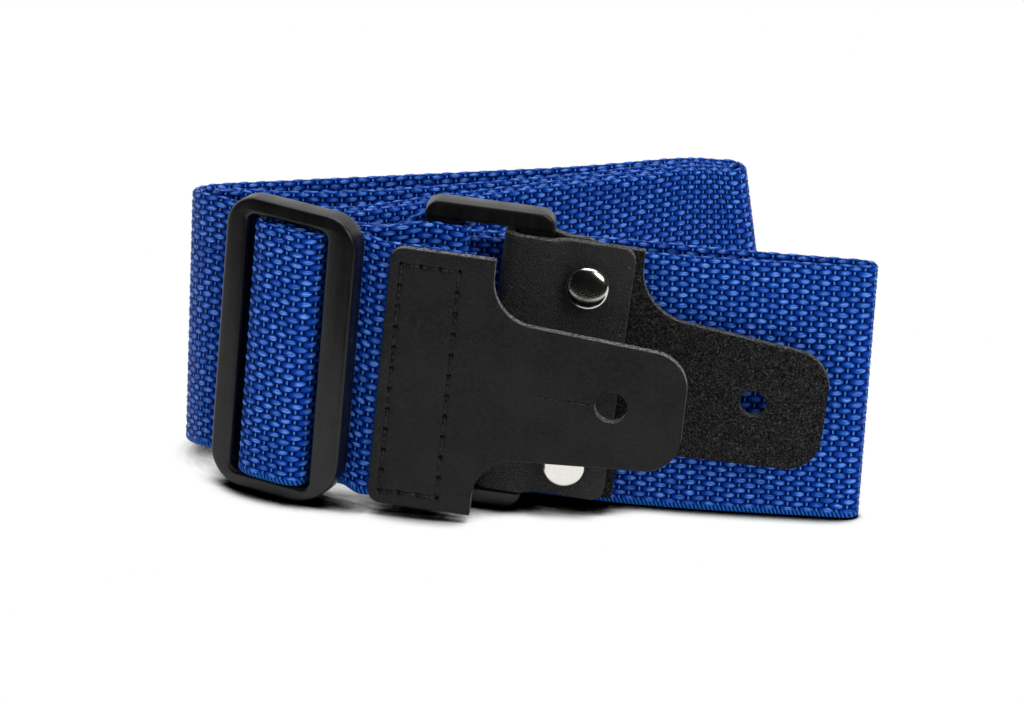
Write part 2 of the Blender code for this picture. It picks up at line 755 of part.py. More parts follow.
def add_thread_loop(name, points, y, parent):
    """A closed run of sewing thread through (x, z) points."""
    curve = bpy.data.curves.new(name, "CURVE")
    curve.dimensions = "3D"
    curve.bevel_depth = THREAD / 2
    curve.bevel_resolution = 1
    spline = curve.splines.new("POLY")
    spline.points.add(len(points) - 1)
    for point, (x, z) in zip(spline.points, points):
        point.co = (x, y, z, 1)
    spline.use_cyclic_u = True
    return add_part(name, curve, THREAD_BLACK, parent)


def add_front_tab():
    face = -WEBBING_THICKNESS / 2 - SEAT_GAP - LEATHER_THICKNESS
    middle = face + LEATHER_THICKNESS / 2
    outlines = [front_outline(), key_hole(FRONT_HOLE_X, BUTTON_HOLE)]
    mesh = plate_mesh("front_tab", outlines, LEATHER_THICKNESS, middle)
    tab = add_part("front_tab", mesh, LEATHER_BLACK, FRONT_HINGE)
    side = THREAD / 2 + SEAT_GAP
    groove = plate_mesh("stitch_groove", [stitch_box(-side), stitch_box(side)], 2 * GROOVE_DEPTH, face)
    boolean(tab, add_cutter("stitch_groove", groove, FRONT_HINGE), "DIFFERENCE")
    needle_y = face + GROOVE_DEPTH - SEAT_GAP - THREAD / 2
    add_thread_loop("front_tab_needle_thread", stitch_box(0), needle_y, FRONT_HINGE)
    bobbin_y = WEBBING_THICKNESS / 2 + SEAT_GAP + THREAD / 2
    add_thread_loop("front_tab_bobbin_thread", stitch_box(0), bobbin_y, FRONT_HINGE)


def rear_route():
    """The rear tab from the flap's rivets round the ring's right bar and back to the rivets."""
    bend = RING_EDGE + 1.6 * SEAT_GAP + LEATHER_THICKNESS / 2
    corner_x, corner_y = RING_SIDE_BAR / 2 - RING_EDGE, RING_SIDE_THICKNESS / 2 - RING_EDGE
    clamp_x = RIVET_X - RIVET_CAP / 2
    back = arc((-corner_x, corner_y), bend, 180, 90)
    back += [(corner_x, corner_y + bend)]
    back += [(clamp_x - 1.6 * MM, LAYER_OFFSET + 0.85 * MM)]
    back += [(clamp_x, LAYER_OFFSET), (RIVET_X, LAYER_OFFSET)]
    front = [(x, -y) for x, y in reversed(back)]
    return [place for (place,) in smooth([(Vector((x, y, 0)),) for x, y in front + back])]


def rear_rows():
    half = REAR_WIDTH / 2
    corner = [FLAP_LENGTH - HEAD_CORNER * (1 - math.sin(math.radians(a))) for a in (90, 60, 30, 0)]
    rows = []
    for x in corner:
        over = x - (FLAP_LENGTH - HEAD_CORNER)
        drop = HEAD_CORNER - math.sqrt(max(0.0, HEAD_CORNER**2 - over**2))
        rows.append((Vector((x, -LAYER_OFFSET, 0)), half - drop))
    rows += [(place, half) for place in rear_route()]
    rows.append((Vector((REAR_HEAD - SEAT_GAP, LAYER_OFFSET, 0)), half))
    for x in tongue_places(REAR_HEAD, REAR_LENGTH):
        share = min(1.0, (x - REAR_HEAD) / SHOULDER_FILLET)
        place = Vector((x, LAYER_OFFSET, -share * TONGUE_DROP))
        rows.append((place, tongue_half_width(x, REAR_HEAD, REAR_LENGTH)))
    drop = UP * REAR_DROP
    return [(place - UP * reach - drop, place + UP * reach - drop) for place, reach in rows]


def add_rear_tab():
    tab = add_part("rear_tab", strip_mesh("rear_tab", rear_rows()), LEATHER_BLACK, REAR_HINGE)
    thicken(tab, LEATHER_THICKNESS)
    through = 4 * LEATHER_THICKNESS
    places = [("upper_rivet_bore", STEM_HOLE, RIVET_X, RIVET_SPACING / 2 - RIVET_DROP)]
    places.append(("lower_rivet_bore", STEM_HOLE, RIVET_X, -RIVET_SPACING / 2 - RIVET_DROP))
    places.append(("button_bore", BUTTON_HOLE, REAR_HOLE_X, -REAR_DROP - TONGUE_DROP))
    for name, diameter, x, z in places:
        bore = add_cutter(name, bore_mesh(name, diameter, through, (x, 0, z)), REAR_HINGE)
        boolean(tab, bore, "DIFFERENCE")


# Rivets


def turned(name, profile, material, parent, place):
    """A solid turned about y from (radius, y) points that run from its front to its back."""
    mesh = bpy.data.meshes.new(name)
    shape = bmesh.new()
    made = [shape.verts.new((radius, 0, -y)) for radius, y in profile]
    for a, b in zip(made, made[1:]):
        shape.edges.new((a, b))
    shape.to_mesh(mesh)
    shape.free()
    part = add_part(name, mesh, material, parent)
    part.matrix_local = Matrix.Translation(place) @ UPRIGHT
    screw = part.modifiers.new("turn", "SCREW")
    screw.steps = TURN_STEPS
    screw.render_steps = TURN_STEPS
    screw.use_merge_vertices = True
    screw.merge_threshold = 0.01 * MM
    return part


def cap_profile():
    """A domed cap with a blind bore for the stem, from its crown to its bore."""
    radius = RIVET_CAP / 2
    crown = -RIVET_SEAT - RIVET_CAP_HEIGHT
    rim = -RIVET_SEAT - RIVET_RIM
    rise = rim - crown
    dome = [math.radians(90) * i / 6 for i in range(7)]
    points = [(radius * math.sin(a), rim - rise * math.cos(a)) for a in dome]
    bore = STEM_HOLE / 2
    points += [(radius, -RIVET_SEAT), (bore, -RIVET_SEAT)]
    points += [(bore, -RIVET_SEAT - RIVET_GRIP), (0, -RIVET_SEAT - RIVET_GRIP)]
    return points


def post_profile():
    """A stem with a flat flange at the back."""
    stem, flange = RIVET_STEM / 2, RIVET_CAP / 2
    tip = -RIVET_SEAT - RIVET_GRIP + SEAT_GAP
    edge = RIVET_FLANGE / 3
    return [
        (0, tip),
        (stem, tip),
        (stem, RIVET_SEAT),
        (flange, RIVET_SEAT),
        (flange, RIVET_SEAT + RIVET_FLANGE - edge),
        (flange - edge, RIVET_SEAT + RIVET_FLANGE),
        (0, RIVET_SEAT + RIVET_FLANGE),
    ]


def add_rivets():
    for level, side in (("upper", 1), ("lower", -1)):
        place = (RIVET_X, 0, side * RIVET_SPACING / 2 - RIVET_DROP)
        turned(f"{level}_rivet_cap", cap_profile(), RIVET_NICKEL, REAR_HINGE, place)
        turned(f"{level}_rivet_post", post_profile(), RIVET_NICKEL, REAR_HINGE, place)


# Sewing of the webbing's end


def add_tacks():
    """The seam through both layers of the webbing's sewn end, on either face."""
    half = WEBBING_WIDTH / 2 - TACK_MARGIN
    left = SEWN_X + 2 * THREAD
    box = rounded_rectangle(left, left + TACK_LENGTH, -half, half, THREAD)
    off = WEBBING_THICKNESS / 2 + SEAT_GAP + THREAD / 2
    add_thread_loop("anchor_needle_thread", box, SEWN_Y - off, SLIDER_FRAME)
    add_thread_loop("anchor_bobbin_thread", box, INNER_Y + off, SLIDER_FRAME)


STRIP_ORDER = (
    ("webbing_tail", -1),
    ("webbing_lead", -1),
    ("webbing_bridge", -1),
    ("webbing_outer_run", 1),
    ("webbing_slack_loop", 1),
    ("webbing_ring_loop", 1),
    ("webbing_inner_run", 1),
    ("webbing_inner_turn", 1),
    ("webbing_anchor", 1),
)


def whole_strip():
    """The plan points of the whole strip of webbing in order, each with its run along the strip."""
    bpy.context.view_layer.update()
    marks = []
    for name, direction in STRIP_ORDER:
        route, parent = ROUTES[name]
        matrix = parent.matrix_world if parent else Matrix()
        for place, _ in route[::direction]:
            spot = (matrix @ place).xy
            run = marks[-1][0] + (spot - marks[-1][1]).length if marks else 0.0
            marks.append((run, spot))
    return marks


def least_gap(marks):
    """The least distance between the faces of two strands that lie beside each other."""
    least = 1.0
    for run, spot in marks:
        for (start_run, start), (end_run, end) in zip(marks, marks[1:]):
            if min(abs(start_run - run), abs(end_run - run)) < 6 * WEBBING_THICKNESS:
                continue
            along = end - start
            share = min(1.0, max(0.0, (spot - start).dot(along) / along.length_squared))
            least = min(least, (spot - start - along * share).length - WEBBING_THICKNESS)
    return least


add_slider()
add_ring()
add_front_tab()
add_rear_tab()
add_rivets()
add_tacks()
add_all_webbing()
strip = whole_strip()
print(f"least gap between strands of webbing: {least_gap(strip) / MM:.2f} mm")
print(f"length of webbing: {strip[-1][0]:.3f} m")
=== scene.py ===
"""The looks of a folded instrument strap: woven webbing, leather tabs, moulded plastic and nickel rivets.

The frames and routes repeat those of the CAD source, so each piece lies within about 1 mm of its solid.
Lengths are in metres where no unit is given. Local frames have x along the strap, y to the back and z up.
"""

import math

import bmesh
import bpy
import numpy as np
from mathutils import Matrix, Vector


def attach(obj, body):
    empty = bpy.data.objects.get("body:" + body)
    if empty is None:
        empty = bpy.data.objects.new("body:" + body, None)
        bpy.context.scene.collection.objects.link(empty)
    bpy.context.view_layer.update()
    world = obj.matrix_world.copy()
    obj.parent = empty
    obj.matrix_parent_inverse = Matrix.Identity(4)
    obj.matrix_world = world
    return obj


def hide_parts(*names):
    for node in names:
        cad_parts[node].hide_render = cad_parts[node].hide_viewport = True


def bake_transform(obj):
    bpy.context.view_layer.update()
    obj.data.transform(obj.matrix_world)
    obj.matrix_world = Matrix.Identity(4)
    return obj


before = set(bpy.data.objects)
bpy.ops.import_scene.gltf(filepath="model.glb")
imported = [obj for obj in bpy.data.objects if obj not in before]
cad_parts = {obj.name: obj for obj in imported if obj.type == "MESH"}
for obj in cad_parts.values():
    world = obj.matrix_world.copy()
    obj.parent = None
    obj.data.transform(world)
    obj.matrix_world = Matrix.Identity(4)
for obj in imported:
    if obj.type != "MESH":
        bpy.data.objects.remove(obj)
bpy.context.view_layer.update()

MM = 0.001
UP = Vector((0, 0, 1))

# Sizes shared with the CAD source
SEAT_GAP = 0.3 * MM
STRAND_GAP = 0.5 * MM
STANDING_GAP = 0.1 * MM
SIDE_CLEARANCE = 0.35 * MM
WEBBING_WIDTH = 50.8 * MM
WEBBING_THICKNESS = 1.7 * MM
SLIDER_WIDTH = 27.0 * MM
SLIDER_THICKNESS = 4.2 * MM
SLIDER_LEFT_BAR = 4.4 * MM
SLIDER_RIGHT_BAR = 5.8 * MM
SLIDER_END_BAR = 3.2 * MM
SLIDER_CORNER = 6.0 * MM
SLIDER_WINDOW_CORNER = 1.6 * MM
SLIDER_EDGE = 0.8 * MM
MIDDLE_BAR_WIDTH = 4.4 * MM
MIDDLE_BAR_THICKNESS = 2.6 * MM
MIDDLE_BAR_EDGE = 0.9 * MM
BRIDGE_SHARE = 0.6
RING_WIDTH = 24.0 * MM
RING_SIDE_BAR = 6.5 * MM
RING_SIDE_THICKNESS = 3.4 * MM
RING_END_BAR = 3.5 * MM
RING_END_THICKNESS = 4.8 * MM
RING_END_PROUD = 0.25 * MM
RING_END_STEP = 0.2 * MM
RING_CORNER = 3.0 * MM
RING_WINDOW_CORNER = 1.0 * MM
RING_EDGE = 0.7 * MM
LEATHER_THICKNESS = 2.0 * MM
HEAD_CORNER = 2.6 * MM
TONGUE_ROOT_WIDTH = 26.6 * MM
TONGUE_TIP_WIDTH = 23.6 * MM
TONGUE_CORNER = 7.0 * MM
SHOULDER_FILLET = 8.5 * MM
BUTTON_HOLE = 6.2 * MM
FRONT_HEAD = 19.5 * MM
FRONT_LENGTH = 57.2 * MM
FRONT_HOLE_X = 43.6 * MM
SLIT_LENGTH = 11.0 * MM
WEBBING_UNDER_TAB = 15.5 * MM
STITCH_MARGIN_X = 2.2 * MM
STITCH_BOX_WIDTH = 10.8 * MM
STITCH_MARGIN_TOP = 3.2 * MM
STITCH_MARGIN_BOTTOM = 2.6 * MM
THREAD = 0.6 * MM
REAR_WIDTH = 49.8 * MM
REAR_DROP = 0.5 * MM
TONGUE_DROP = 0.9 * MM
FLAP_LENGTH = 19.0 * MM
REAR_HEAD = 20.5 * MM
REAR_LENGTH = 58.0 * MM
REAR_HOLE_X = 44.4 * MM
RIVET_X = 10.9 * MM
RIVET_SPACING = 35.6 * MM
RIVET_DROP = 1.8 * MM
RIVET_CAP = 8.3 * MM
RIVET_CAP_HEIGHT = 2.2 * MM
RIVET_RIM = 0.5 * MM
RIVET_FLANGE = 0.8 * MM
RIVET_STEM = 3.0 * MM
RIVET_GRIP = 1.1 * MM
SEWN_LENGTH = 12.0 * MM
TACK_LENGTH = 4.5 * MM
TACK_MARGIN = 6.0 * MM
PLAN_ORIGIN = (2.782, 31.286)
BACK_FOLD = (44.8, 67.2)
BACK_FOLD_LEAN = math.radians(11)
BACK_FOLD_ANGLE = math.radians(18)
FRONT_FOLD = (65.0, 8.2)
FRONT_FOLD_RADIUS = 1.75

# Sizes that follow from the ones above
WINDOW_HEIGHT = WEBBING_WIDTH + 2 * SIDE_CLEARANCE
SLIDER_HEIGHT = WINDOW_HEIGHT + 2 * SLIDER_END_BAR
RING_HEIGHT = WINDOW_HEIGHT + 2 * RING_END_BAR
RING_FULL_WIDTH = RING_WIDTH + 2 * RING_END_PROUD
RING_FULL_HEIGHT = RING_HEIGHT + 2 * RING_END_PROUD
STRAND_PITCH = WEBBING_THICKNESS + STRAND_GAP
RING_AXIS = RING_WIDTH / 2 - RING_SIDE_BAR / 2
LAYER_OFFSET = LEATHER_THICKNESS / 2 + SEAT_GAP / 2
RIVET_SEAT = LAYER_OFFSET + LEATHER_THICKNESS / 2 + SEAT_GAP
FRONT_FACE = -WEBBING_THICKNESS / 2 - SEAT_GAP - LEATHER_THICKNESS
BAR_X = (SLIDER_LEFT_BAR - SLIDER_RIGHT_BAR) / 2
MIDDLE_TO_LEFT_BAR = SLIDER_WIDTH / 2 - SLIDER_LEFT_BAR + BAR_X
MIDDLE_TO_RIGHT_BAR = SLIDER_WIDTH / 2 - SLIDER_RIGHT_BAR - BAR_X
BAR_BACK = SLIDER_THICKNESS / 2
BAR_FRONT = BAR_BACK - MIDDLE_BAR_THICKNESS
PASS_Y = SLIDER_THICKNESS / 2 + STRAND_GAP + WEBBING_THICKNESS / 2
LOOP_FRONT = BAR_FRONT - SEAT_GAP - WEBBING_THICKNESS / 2
LOOP_BACK = BAR_BACK + SEAT_GAP + WEBBING_THICKNESS / 2
LOOP_SIDE = MIDDLE_BAR_WIDTH / 2 + SEAT_GAP + WEBBING_THICKNESS / 2
BRIDGE_FRONT = LOOP_FRONT - STRAND_PITCH
SLOT_SPARE = MIDDLE_TO_RIGHT_BAR - LOOP_SIDE - 1.5 * WEBBING_THICKNESS
BRIDGE_SIDE = LOOP_SIDE + WEBBING_THICKNESS + BRIDGE_SHARE * SLOT_SPARE
SEWN_Y = PASS_Y + WEBBING_THICKNESS + THREAD + 2 * SEAT_GAP
INNER_Y = SEWN_Y + WEBBING_THICKNESS + 2 * SEAT_GAP
PASS_LEFT = BAR_X - MIDDLE_TO_LEFT_BAR - SEAT_GAP
PASS_RIGHT = BAR_X + MIDDLE_TO_RIGHT_BAR + SEAT_GAP
SEWN_X = BAR_X - BRIDGE_SIDE - SEWN_LENGTH / 2
WRAP_Y = RING_SIDE_THICKNESS / 2 + STRAND_GAP + WEBBING_THICKNESS / 2
WRAP_X = RING_SIDE_BAR / 2 + STRAND_GAP + WEBBING_THICKNESS / 2

# Where the looks leave the solids
LOOP_PRESS = 0.2 * MM  # how far the sewn loop is pressed on to the middle bar, past its solid's gap
BRIDGE_PRESS = LOOP_PRESS + 0.38 * MM  # and the bridge on to the loop
BRIDGE_SAG = 0.25 * MM  # the bridge rests on the slider's lower end bar
SLIDER_CROWN = 0.5 * MM  # how far the frame's front stands out past its solid
SLIDER_BACK_CROWN = 0.1 * MM
SLIDER_CORNERS = (10.0 * MM, SLIDER_CORNER, SLIDER_CORNER, 7.0 * MM)
FLAP_LIFT = 0.7 * MM  # how much higher the flap, the wrap and the rivets reach
TONGUE_SAG = 0.7 * MM  # how much lower the rear tongue hangs at its hole
REAR_HOLE = 5.2 * MM  # the nap closes the rear button hole this far
RIVET_PRESS = 0.22 * MM  # how far a rivet presses into the leather


# Frames of the pieces


def plan(x, y):
    """A plan position in mm as metres from the origin."""
    return Vector((x - PLAN_ORIGIN[0], y - PLAN_ORIGIN[1], 0.0)) * MM


def standing_height(width, height, corner, droop):
    """How high the middle of a rounded frame is when it stands on the floor, tilted by droop."""
    upright = (height / 2 - corner) * math.cos(droop)
    across = (width / 2 - corner) * math.sin(droop)
    return upright + across + corner + STANDING_GAP


def local_frame(place, middle_z, yaw, droop):
    turn = Matrix.Rotation(-yaw, 4, "Z") @ Matrix.Rotation(droop, 4, "Y")
    return Matrix.Translation(plan(*place) + Vector((0, 0, middle_z))) @ turn


SLIDER_DROOP = math.radians(2.5)
RING_DROOP = math.radians(4.2)
SLIDER_MATRIX = local_frame(
    (-42.0, 3.0),
    standing_height(SLIDER_WIDTH, SLIDER_HEIGHT, SLIDER_CORNER, SLIDER_DROOP),
    math.radians(25),
    SLIDER_DROOP,
)
RING_MATRIX = local_frame(
    (-7.1, 5.0),
    standing_height(RING_FULL_WIDTH, RING_FULL_HEIGHT, RING_CORNER, RING_DROOP),
    math.radians(2),
    RING_DROOP,
)
FRONT_MATRIX = local_frame((-24.2, -1.4), 28.0 * MM, math.radians(6), math.radians(3.0))
REAR_TURN = Matrix.Rotation(-math.radians(3.5), 4, "Z")
REAR_MATRIX = RING_MATRIX @ Matrix.Translation((RING_AXIS, 0, 0)) @ REAR_TURN


# Meshes

WELD = 0.005 * MM
UPRIGHT = Matrix.Rotation(math.radians(90), 4, "X")
PLASTIC_CREASE, LEATHER_CREASE, NICKEL_CREASE = 35, 50, 40  # edges stay sharp above this many degrees


def new_object(name, data):
    piece = bpy.data.objects.new(name, data)
    bpy.context.scene.collection.objects.link(piece)
    return piece


def mesh_from_arrays(name, points, faces):
    """A smooth mesh from an array of points and an array of quads."""
    mesh = bpy.data.meshes.new(name)
    mesh.vertices.add(len(points))
    mesh.vertices.foreach_set("co", np.asarray(points, np.float32).ravel())
    mesh.loops.add(faces.size)
    mesh.loops.foreach_set("vertex_index", np.asarray(faces, np.int32).ravel())
    mesh.polygons.add(len(faces))
    mesh.polygons.foreach_set("loop_start", np.arange(0, faces.size, 4, dtype=np.int32))
    mesh.polygons.foreach_set("use_smooth", np.ones(len(faces), bool))
    mesh.update(calc_edges=True)
    return mesh


def mesh_from_shape(name, shape):
    mesh = bpy.data.meshes.new(name)
    shape.to_mesh(mesh)
    shape.free()
    return mesh


def grid_faces(index):
    """Quads of a grid of point numbers."""
    quads = (index[:-1, :-1], index[1:, :-1], index[1:, 1:], index[:-1, 1:])
    return np.stack([q.ravel() for q in quads], axis=1)


def face_outward(mesh, weld=0.0):
    """Turns the faces of a closed mesh outward, after joining points that are closer than weld."""
    shape = bmesh.new()
    shape.from_mesh(mesh)
    if weld > 0:
        bmesh.ops.remove_doubles(shape, verts=shape.verts, dist=weld)
    bmesh.ops.recalc_face_normals(shape, faces=shape.faces)
    shape.to_mesh(mesh)
    shape.free()


def points_of(mesh):
    places = np.zeros(len(mesh.vertices) * 3, np.float32)
    mesh.vertices.foreach_get("co", places)
    return places.reshape(-1, 3)


def store(mesh, name, values):
    """Keeps a number or a vector at each point of a mesh, for its material."""
    kind, field = ("FLOAT", "value") if values.ndim == 1 else ("FLOAT_VECTOR", "vector")
    attribute = mesh.attributes.get(name) or mesh.attributes.new(name, kind, "POINT")
    attribute.data.foreach_set(field, values.astype(np.float32).ravel())


def keep_local_places(mesh):
    """Stores each point's place in its own frame, in mm."""
    store(mesh, "local_mm", points_of(mesh) / MM)


def arc(centre, radius, start, end, step=6):
    """Points of an arc, with angles in degrees."""
    count = max(2, math.ceil(abs(end - start) / step))
    angles = [math.radians(start + (end - start) * i / count) for i in range(count + 1)]
    return [(centre[0] + radius * math.cos(a), centre[1] + radius * math.sin(a)) for a in angles]


def circle(centre, radius):
    return arc(centre, radius, 0, 354)


def rounded_rectangle(left, right, bottom, top, *radii):
    """Corners in order: bottom right, top right, top left, bottom left. One radius serves for all."""
    a, b, c, d = radii if len(radii) == 4 else radii * 4
    return (
        arc((right - a, bottom + a), a, -90, 0)
        + arc((right - b, top - b), b, 0, 90)
        + arc((left + c, top - c), c, 90, 180)
        + arc((left + d, bottom + d), d, 180, 270)
    )


def frame_outlines(width, height, left_bar, right_bar, window_corner, *corners):
    """The outline and the window of a frame round the webbing, as (x, z) points."""
    left, right, top = -width / 2, width / 2, WINDOW_HEIGHT / 2
    outer = rounded_rectangle(left, right, -height / 2, height / 2, *corners)
    window = rounded_rectangle(left + left_bar, right - right_bar, -top, top, window_corner)
    return [outer, window[::-1]]


def evaluated_mesh(item):
    graph = bpy.context.evaluated_depsgraph_get()
    return bpy.data.meshes.new_from_object(item.evaluated_get(graph))


def curve_mesh(curve):
    holder = new_object("holder", curve)
    mesh = evaluated_mesh(holder)
    bpy.data.objects.remove(holder)
    return mesh


def plate_mesh(name, outlines, thickness, middle_y=0.0, edge=0.0):
    """An upright plate with rounded edges, from outlines given as (x, z) points."""
    curve = bpy.data.curves.new(name, "CURVE")
    curve.dimensions = "2D"
    curve.fill_mode = "BOTH"
    curve.extrude = thickness / 2 - edge
    curve.bevel_depth = edge
    curve.offset = -edge
    curve.bevel_resolution = 3
    for points in outlines:
        spline = curve.splines.new("POLY")
        spline.points.add(len(points) - 1)
        for point, (x, z) in zip(spline.points, points):
            point.co = (x, z, 0, 1)
        spline.use_cyclic_u = True
    mesh = curve_mesh(curve)
    face_outward(mesh, WELD)
    mesh.transform(Matrix.Translation((0, middle_y, 0)) @ UPRIGHT)
    return mesh


def combine(piece, tool_mesh, operation):
    """Joins a mesh to a piece, or cuts it out of the piece."""
    tool = new_object("tool", tool_mesh)
    modifier = piece.modifiers.new("combine", "BOOLEAN")
    modifier.operation = operation
    modifier.solver = "EXACT"
    modifier.object = tool
    made = evaluated_mesh(piece)
    piece.modifiers.clear()
    piece.data = made
    bpy.data.objects.remove(tool)


def smooth_by_angle(mesh, degrees):
    mesh.shade_smooth()
    mesh.set_sharp_from_angle(angle=math.radians(degrees))


def place_piece(piece, matrix, body, slot, *nodes):
    """Moves a finished piece from its local frame to its place and ties it to a body."""
    piece.data.transform(matrix)
    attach(piece, body)
    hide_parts(*nodes)


# Materials


class Graph:
    """The nodes of one material, with short calls for those used here."""

    def __init__(self, name):
        self.material = bpy.data.materials.new(name)
        self.material.use_nodes = True
        self.tree = self.material.node_tree
        self.shader = self.tree.nodes["Principled BSDF"]

    def add(self, kind, **settings):
        node = self.tree.nodes.new(kind)
        for key, value in settings.items():
            setattr(node, key, value)
        return node

    def plug(self, socket, value):
        if isinstance(value, bpy.types.NodeSocket):
            self.tree.links.new(value, socket)
        elif isinstance(value, tuple) and len(value) == 3 and socket.type == "RGBA":
            socket.default_value = (*value, 1.0)
        else:
            socket.default_value = value

    def made(self, kind, output, inputs, **settings):
        """One output of a new node, whose inputs are given by name or number."""
        node = self.add(kind, **settings)
        for key, value in inputs.items():
            self.plug(node.inputs[key], value)
        return node.outputs[output]

    def math(self, operation, a, b=0.0, clamp=False):
        return self.made("ShaderNodeMath", 0, {0: a, 1: b}, operation=operation, use_clamp=clamp)

    def plus(self, a, b):
        return self.math("ADD", a, b)

    def minus(self, a, b, clamp=False):
        return self.math("SUBTRACT", a, b, clamp)

    def times(self, a, b, clamp=False):
        return self.math("MULTIPLY", a, b, clamp)

    def larger(self, a, b):
        return self.math("MAXIMUM", a, b)

    def mix(self, share, a, b):
        return self.made("ShaderNodeMix", 2, {"Factor": share, 6: a, 7: b}, data_type="RGBA")

    def between(self, value, low, high, to_low=0.0, to_high=1.0):
        """A smooth step from to_low to to_high, as the value goes from low to high."""
        numbers = dict(enumerate((value, low, high, to_low, to_high)))
        return self.made("ShaderNodeMapRange", 0, numbers, interpolation_type="SMOOTHSTEP")

    def attribute(self, name, output="Vector"):
        return self.made("ShaderNodeAttribute", output, {}, attribute_name=name)

    def stretched(self, vector, scale):
        return self.made("ShaderNodeVectorMath", 0, {0: vector, 1: scale}, operation="MULTIPLY")

    def noise(self, vector, scale, detail, roughness):
        inputs = {"Vector": vector, "Scale": scale, "Detail": detail, "Roughness": roughness}
        return self.made("ShaderNodeTexNoise", "Fac", inputs)

    def cells(self, vector, scale):
        inputs = {"Vector": vector, "Scale": scale}
        return self.made("ShaderNodeTexVoronoi", "Distance", inputs, feature="DISTANCE_TO_EDGE")

    def chance(self, *numbers):
        """A chance value from 0 to 1 that stays the same for the same three numbers."""
        place = self.made("ShaderNodeCombineXYZ", 0, dict(enumerate(numbers)))
        return self.made("ShaderNodeTexWhiteNoise", "Value", {"Vector": place})

    def bump(self, height, strength, distance, normal=None):
        inputs = {"Strength": strength, "Distance": distance, "Height": height}
        if normal is not None:
            inputs["Normal"] = normal
        return self.made("ShaderNodeBump", 0, inputs)

    def finish(self, specular=0.5, **values):
        self.shader.inputs["Specular IOR Level"].default_value = specular
        for key, value in values.items():
            self.plug(self.shader.inputs[key.replace("_", " ").title()], value)
        return self.material


# Weave, with lengths in mm along the strip and round it
COLUMN = 1.88  # from one column of floats to the next
ROWS = 48  # floats in one turn round the strip, over both faces and selvedges
FLOAT_LEVEL = 0.84  # from the middle of the webbing to the top of its floats
GAP_LEVEL = 0.5  # and to the bottom of the weave
FACE_WIDTH = WEBBING_WIDTH / MM - 2 * FLOAT_LEVEL
SELVEDGE = math.pi * FLOAT_LEVEL  # the way round one selvedge
AROUND = 2 * (FACE_WIDTH + SELVEDGE)
ROW = AROUND / ROWS  # from one float to the next in a column
CROWDING = 0.06  # how much closer the rows lie at the selvedges
FLOAT_HALF_LENGTH = 1.42
FLOAT_HALF_WIDTH = 0.63
WEFT_HALF_WIDTH = 0.22
WEFT_HALF_LENGTH = 0.46
WEFT_HEIGHT = 0.45  # where 1 is the height of the floats
# the spots of painted shade beside each weft tick
GAP_HALF_LENGTH = 0.9
GAP_HALF_WIDTH = 0.55
EDGE_LOOP = 0.4 * COLUMN  # from one small loop of the weft to the next, along the lower selvedge
EDGE_LOOP_LEAN = 0.35  # how far a loop leans along the strip for each mm round it
EDGE_HEIGHT = 0.8  # of the loops, where 1 is the height of the floats
EDGE_CORE, EDGE_REACH = 1.7, 2.1  # from the middle of the lower selvedge: only loops, and no more loops

# Blues of the yarn, with painted shade for its gaps and painted highlights for its floats and weft
GAP_PAINTED_SHADE = (0.0002, 0.003, 0.045)
PAINTED_SHADE_BLUE = (0.0004, 0.009, 0.1)
BODY_BLUE = (0.0008, 0.035, 0.28)
CROWN_PAINTED_HIGHLIGHT = (0.003, 0.08, 0.4)
FIBRE_PAINTED_HIGHLIGHT = (0.14, 0.3, 0.78)
WEFT_PAINTED_HIGHLIGHT = (0.05, 0.2, 0.62)
LOOP_BLUE = (0.015, 0.12, 0.46)
GLOSS_BLUE = (0.4, 0.65, 1.0)


def weave_height(along, around):
    """The height of the weave from 0 in its gaps to 1 on its floats, at arrays of places in mm."""
    height = np.zeros(np.broadcast(along, around).shape)
    for offset in (0.0, 0.5):
        x = ((along / (2 * COLUMN) + offset) % 1.0 - 0.5) * 2 * COLUMN
        y = ((around / ROW + offset) % 1.0 - 0.5) * ROW
        taper = np.clip(1 - (x / FLOAT_HALF_LENGTH) ** 2, 0, 1)
        width = FLOAT_HALF_WIDTH * np.sqrt(taper) + 1e-6
        dome = np.clip(1 - (y / width) ** 2, 0, 1)
        height = np.maximum(height, np.sqrt(dome * taper))
        weft_y = ((around / ROW + offset + 0.5) % 1.0 - 0.5) * ROW
        weft = np.clip(1 - (x / WEFT_HALF_WIDTH) ** 2 - (weft_y / WEFT_HALF_LENGTH) ** 2, 0, 1)
        height = np.maximum(height, WEFT_HEIGHT * np.sqrt(weft))
    return height


